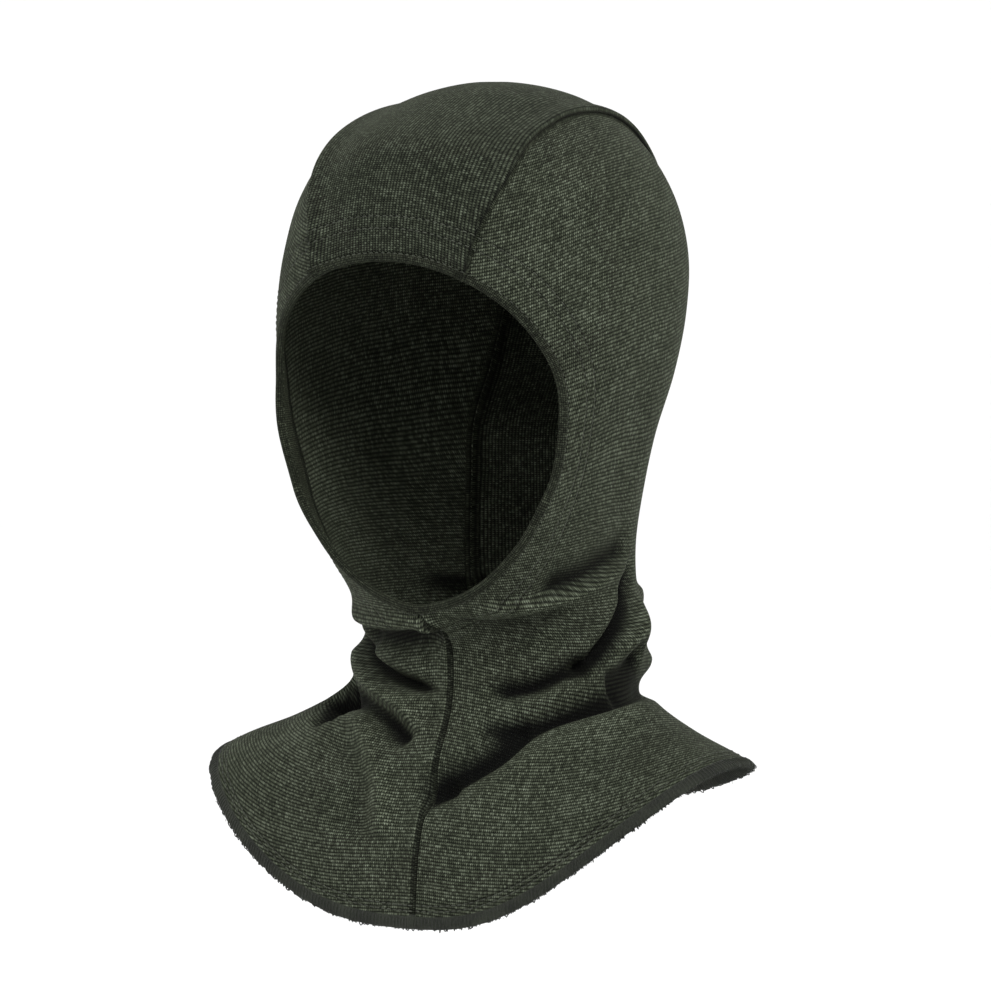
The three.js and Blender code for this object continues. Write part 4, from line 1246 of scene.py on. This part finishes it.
@dataclass
class Sewing:
    """Every visible thread: rows round the face opening, the overlocked edge and the line above it."""

    cloth: Cloth
    edge: LowerEdge
    stitch_pitch: float = 0.0028
    row_near: float = 0.0105
    row_far: float = 0.0155
    roll_row: float = 0.0005
    stroke_pitch: float = 0.0017
    thread_radius: float = 0.00026
    fibre_count: int = 2600
    seed: int = 11

    def opening_row(self, shape: NodeShape, name: str, reach: float, length: float,
                    material: bpy.types.Material) -> bpy.types.Object:
        """One row of stitches round the face opening.

        Args:
            shape: the stitch tree.
            name: name of the new object.
            reach: the row's distance from the cut edge.
            length: length of one stitch.
            material: the thread's finish.

        Returns:
            The object.
        """
        perimeter = arc(self.cloth.form.point(*self.cloth.pattern.opening_loop(600)))[-1]
        count = int(round(perimeter / self.stitch_pitch))
        places = self.cloth.form.beside(*self.cloth.pattern.opening_loop(count), reach, True)
        return self._row(shape, name, places, length, material, True)

    def hem_row(self, shape: NodeShape, name: str, reach: float, length: float,
                material: bpy.types.Material) -> bpy.types.Object:
        """One row of stitches above the lower edge."""
        perimeter = arc(self.cloth.form.point(*self.edge.loop(900)))[-1]
        azimuth, level = self.edge.loop(int(round(perimeter / self.stitch_pitch)))
        _, down, _ = self.cloth.form.directions(azimuth, level)
        return self._row(shape, name, (azimuth, level - reach / np.linalg.norm(down, axis=1)), length, material, True)

    def _row(self, shape: NodeShape, name: str, places: tuple[Array, Array], length: float,
             material: bpy.types.Material, closed: bool) -> bpy.types.Object:
        """Stitches at evenly spaced places, sunk half into the cloth."""
        height = np.full(len(places[0]), self.cloth.thickness)
        points = self.cloth.at(*places, height)
        run = unit(np.roll(points, -1, axis=0) - np.roll(points, 1, axis=0))
        _, _, out = self.cloth.form.directions(*places)
        out = unit(out - run * dot(out, run)[:, None])
        mesh = carrier(name, points, [], {"run": run, "out": out})
        return shape.run(name, mesh, material, {"Length": length, "Width": 0.0006, "Height": 0.0005, "Turn": 0.08})

    def overlock(self, shape: NodeShape, material: bpy.types.Material) -> bpy.types.Object:
        """Strokes of thread that wrap the lower edge, leaning forwards and back in turn."""
        count = int(arc(self.edge.section_frame(900)[0])[-1] / self.stroke_pitch) * 2
        foot, down, out = self.edge.section_frame(count)
        run = unit(np.roll(foot, -1, axis=0) - np.roll(foot, 1, axis=0))
        rng = np.random.default_rng(self.seed)
        turn = np.linspace(-0.18 * math.pi, 1.18 * math.pi, 9)
        half = (self.edge.width + self.edge.cover) / 2
        middle = self.cloth.thickness / 2
        reach = self.edge.width - half + half * 1.06 * np.sin(turn)
        height = middle + (middle + self.edge.proud + self.thread_radius * 0.6) * np.cos(turn)
        lean = np.where(np.arange(count) % 2 == 0, 1.0, -1.0) * (0.6 + 0.5 * rng.random(count))
        shift = lean[:, None] * self.stroke_pitch * np.linspace(-0.5, 0.5, len(turn))[None, :]
        jitter = 1 + 0.12 * rng.standard_normal(count)
        lines = (foot[:, None] + run[:, None] * shift[..., None] + down[:, None] * (reach * 1.0)[None, :, None]
                 * jitter[:, None, None] + out[:, None] * height[None, :, None])
        points, edges = chains(lines)
        mesh = carrier("lower_edge_overlock", points, edges, {}, {"share": np.ones(len(points))})
        return shape.run("lower_edge_overlock", mesh, material, {"Radius": self.thread_radius})

    def fibres(self, shape: NodeShape, material: bpy.types.Material) -> bpy.types.Object:
        """Short stray fibres round the lower edge."""
        foot, down, out = self.edge.section_frame(self.fibre_count)
        run = unit(np.roll(foot, -1, axis=0) - np.roll(foot, 1, axis=0))
        rng = np.random.default_rng(self.seed + 1)
        way = unit(down * (0.5 + rng.random((self.fibre_count, 1))) + out * rng.normal(0, 0.8, (self.fibre_count, 1))
                   + run * rng.normal(0, 0.8, (self.fibre_count, 1)))
        curl = unit(rng.normal(0, 1, (self.fibre_count, 3)))
        start = foot + down * (self.edge.width * rng.uniform(0.2, 1.0, (self.fibre_count, 1))) \
            + out * self.cloth.thickness * rng.uniform(-0.1, 1.1, (self.fibre_count, 1))
        length = rng.uniform(0.0004, 0.0015, self.fibre_count)
        share = np.linspace(0, 1, 4)
        lines = start[:, None] + (way[:, None] * share[None, :, None] + curl[:, None] * 0.4 * share[None, :, None] ** 2
                                  ) * length[:, None, None]
        points, edges = chains(lines)
        mesh = carrier("lower_edge_fibres", points, edges, {}, {"share": np.tile(1.1 - share, self.fibre_count)})
        return shape.run("lower_edge_fibres", mesh, material, {"Radius": 0.00005})


@dataclass
class Allowance:
    """The sewn allowance that lies inside along a seam."""

    cloth: Cloth
    half_width: float = 0.0032
    tall: float = 0.0016
    sink: float = 0.0003
    sections: int = 260
    sides: int = 10

    def build(self, name: str, places: tuple[Array, Array], material: bpy.types.Material) -> bpy.types.Object:
        """A soft flat rib on the inner face along a line of places."""
        turn = np.linspace(0, 2 * math.pi, self.sides, endpoint=False)
        rings = []
        for t in turn:
            beside = self.cloth.form.beside(*places, self.half_width * math.cos(t), False)
            height = self.sink - self.tall / 2 + self.tall / 2 * math.sin(t)
            rings.append(self.cloth.at(*beside, np.full(len(places[0]), height)))
        points = np.stack(rings, axis=1)
        uv = np.stack(np.broadcast_arrays(turn[None, :] * self.half_width / math.pi, arc(points[:, 0])[:, None]),
                      axis=-1)
        faces = tube_faces(len(places[0]), self.sides, False)
        return mesh_object(name, points.reshape(-1, 3), faces, {"knit": uv}, material)

    def front_places(self) -> tuple[Array, Array]:
        """Places down the front seam, from the chin to the hem."""
        pattern = self.cloth.pattern
        level = np.linspace(pattern.chin_level + 0.002, 0.999, self.sections)
        return pattern.form.azimuth_of_x(pattern.front_seam_x(level), level, False), level


@dataclass
class Studio:
    """The camera, the soft lights and the pale floor."""

    azimuth: float = 30.0
    elevation: float = 4.0
    distance: float = 2.5
    target: tuple[float, float, float] = (0.0, -0.008, -0.190)
    target_px: tuple[float, float] = (484.0, 538.0)
    px_per_metre: float = 2380.0
    width_px: float = 991.0
    height_px: float = 985.0
    sensor_mm: float = 36.0
    floor_drop: float = 0.60
    floor_radius: float = 9.0

    def camera(self) -> None:
        """The camera at the photograph's angle and framing."""
        a, e = math.radians(self.azimuth), math.radians(self.elevation)
        back = Vector((math.sin(a) * math.cos(e), -math.cos(a) * math.cos(e), math.sin(e)))
        right = Vector((math.cos(a), math.sin(a), 0.0))
        up = back.cross(right)
        aim = Vector(self.target)
        aim += right * ((self.width_px / 2 - self.target_px[0]) / self.px_per_metre)
        aim += up * ((self.target_px[1] - self.height_px / 2) / self.px_per_metre)
        data = bpy.data.cameras.new("camera")
        data.sensor_width = self.sensor_mm
        data.lens = self.sensor_mm * self.distance / (self.width_px / self.px_per_metre)
        data.clip_end = 100
        camera = bpy.data.objects.new("camera", data)
        camera.location = aim + back * self.distance
        camera.rotation_mode = "QUATERNION"
        camera.rotation_quaternion = (-back).to_track_quat("-Z", "Y")
        bpy.context.scene.collection.objects.link(camera)
        bpy.context.scene.camera = camera

    def light(self, name: str, azimuth: float, elevation: float, distance: float, size: float, watts: float) -> None:
        """One square soft light that looks at the hood."""
        a, e = math.radians(azimuth), math.radians(elevation)
        way = Vector((math.sin(a) * math.cos(e), -math.cos(a) * math.cos(e), math.sin(e)))
        data = bpy.data.lights.new(name, "AREA")
        data.size = size
        data.energy = watts
        lamp = bpy.data.objects.new(name, data)
        lamp.location = Vector(self.target) + way * distance
        lamp.rotation_mode = "QUATERNION"
        lamp.rotation_quaternion = (-way).to_track_quat("-Z", "Y")
        bpy.context.scene.collection.objects.link(lamp)

    def floor(self) -> None:
        """A round pale floor that turns up softly far from the hood on every side."""
        radii = np.concatenate([np.linspace(0.01, self.floor_radius * 0.6, 8),
                                np.linspace(self.floor_radius * 0.6, self.floor_radius, 16)[1:]])
        rise = np.maximum(radii / self.floor_radius - 0.6, 0) ** 2 * self.floor_radius * 3
        turn = np.linspace(0, 2 * math.pi, 64, endpoint=False)
        points = np.stack(np.broadcast_arrays(radii[:, None] * np.cos(turn), radii[:, None] * np.sin(turn),
                                              (rise - self.floor_drop)[:, None]), axis=-1).reshape(-1, 3)
        faces = []
        for i in range(len(radii) - 1):
            for j in range(64):
                k = (j + 1) % 64
                faces.append((i * 64 + j, i * 64 + k, (i + 1) * 64 + k, (i + 1) * 64 + j)[::-1])
        faces.append(tuple(range(64)))
        mesh = bpy.data.meshes.new("studio_floor")
        mesh.from_pydata(points.tolist(), [], faces)
        mesh.shade_smooth()
        paint = bpy.data.materials.new("pale_floor")
        paint.use_nodes = True
        g = Graph(paint.node_tree)
        shader = g.add("ShaderNodeBsdfPrincipled", inputs={"Base Color": (0.90, 0.90, 0.90, 1.0), "Roughness": 0.9})
        g.add("ShaderNodeOutputMaterial", inputs={"Surface": shader["BSDF"]})
        mesh.materials.append(paint)
        floor = bpy.data.objects.new("studio_floor", mesh)
        bpy.context.scene.collection.objects.link(floor)

    def world(self, strength: float) -> None:
        """Even white light from all round."""
        world = bpy.data.worlds.new("studio")
        world.use_nodes = True
        g = Graph(world.node_tree)
        sky = g.add("ShaderNodeBackground", inputs={"Color": (1.0, 1.0, 1.0, 1.0), "Strength": strength})
        g.add("ShaderNodeOutputWorld", inputs={"Surface": sky["Background"]})
        bpy.context.scene.world = world

    def build(self) -> None:
        """All of the studio."""
        self.camera()
        self.floor()
        self.world(1.12)
        self.light("key_light", 50.0, 40.0, 2.2, 0.7, 50.0)
        self.light("fill_light", -45.0, 30.0, 2.4, 1.0, 20.0)
        self.light("rim_light", 170.0, 50.0, 2.2, 1.2, 3.0)
        bpy.context.scene.view_settings.view_transform = "Standard"


# The crown strip's knit is the side knit painted darker, as shade on the top of the hood.
CROWN_KNIT_PAINTED_SHADE = KnitFinish("crown_knit", (0.0048, 0.0060, 0.0037), (0.0123, 0.0146, 0.0094), (0.033, 0.039, 0.0275))
SIDE_KNIT = KnitFinish("side_knit", (0.0072, 0.0088, 0.0054), (0.0193, 0.0226, 0.0147), (0.051, 0.059, 0.0425))
# The face edge's knit is the side knit painted much darker, as shade on the rolled edge; the seam allowances inside use
# it too.
EDGE_KNIT_PAINTED_SHADE = KnitFinish("face_edge_knit_painted_shade", (0.0035, 0.0044, 0.0026), (0.0088, 0.0104, 0.0065), (0.024, 0.028, 0.0185),
                       course=0.0009)
DARK_THREAD = ThreadFinish("stitch_thread", (0.012, 0.014, 0.009), (0.044, 0.050, 0.035))
EDGE_THREAD = ThreadFinish("overlock_thread", (0.0035, 0.0045, 0.0026), (0.0150, 0.0178, 0.0112))


def main() -> None:
    """Builds the studio and the hood piece by piece, and attaches each piece to the hood's body."""
    logging.basicConfig(level=logging.INFO, format="%(name)s: %(message)s")
    Studio().build()
    form = Form()
    pattern = Pattern(form)
    cloth = Cloth(form, pattern)
    panels = Panels(cloth)
    edge = LowerEdge(cloth)
    sewing = Sewing(cloth, edge)
    crown_knit, side_knit, edge_knit_painted_shade = CROWN_KNIT_PAINTED_SHADE.material(), SIDE_KNIT.material(), EDGE_KNIT_PAINTED_SHADE.material()
    thread, edge_thread = DARK_THREAD.material(), EDGE_THREAD.material()
    stitches, threads = stitch_shape(), thread_shape()

    crown = dress(panels.crown(crown_knit), "crown_knit", "crown_panel")
    left = dress(panels.side(Piece.LEFT, side_knit), "side_knit", "side_panel_left")
    right = dress(panels.side(Piece.RIGHT, side_knit), "side_knit", "side_panel_right")
    roll = dress(FaceEdge(cloth).build(edge_knit_painted_shade), "face_edge", "face_hem")
    core = dress(edge.core(edge_thread), "overlock_thread", "cape_hem")

    rows = [dress(sewing.opening_row(stitches, "face_stitches_near", sewing.row_near, 0.0022, thread), "overlock_thread"),
            dress(sewing.opening_row(stitches, "face_stitches_far", sewing.row_far, 0.0022, thread), "overlock_thread"),
            dress(sewing.opening_row(stitches, "face_roll_stitches", sewing.roll_row, 0.0020, thread),
                  "overlock_thread")]
    hem_rows = [dress(sewing.hem_row(stitches, f"hem_stitches_{name}", reach, 0.0022, thread), "overlock_thread")
                for name, reach in (("near", 0.0045), ("far", 0.0068))]
    wraps = dress(sewing.overlock(threads, edge_thread), "overlock_thread")
    fuzz = dress(sewing.fibres(threads, edge_thread), "overlock_thread")
    allowance = Allowance(cloth)
    inside = [dress(allowance.build(f"crown_allowance_{name}", pattern.crown_seam(allowance.sections, side), edge_knit_painted_shade),
                    "face_edge") for name, side in (("left", 1), ("right", -1))]
    inside.append(dress(allowance.build("front_allowance", allowance.front_places(), edge_knit_painted_shade), "face_edge"))


if __name__ == "__main__":
    main()
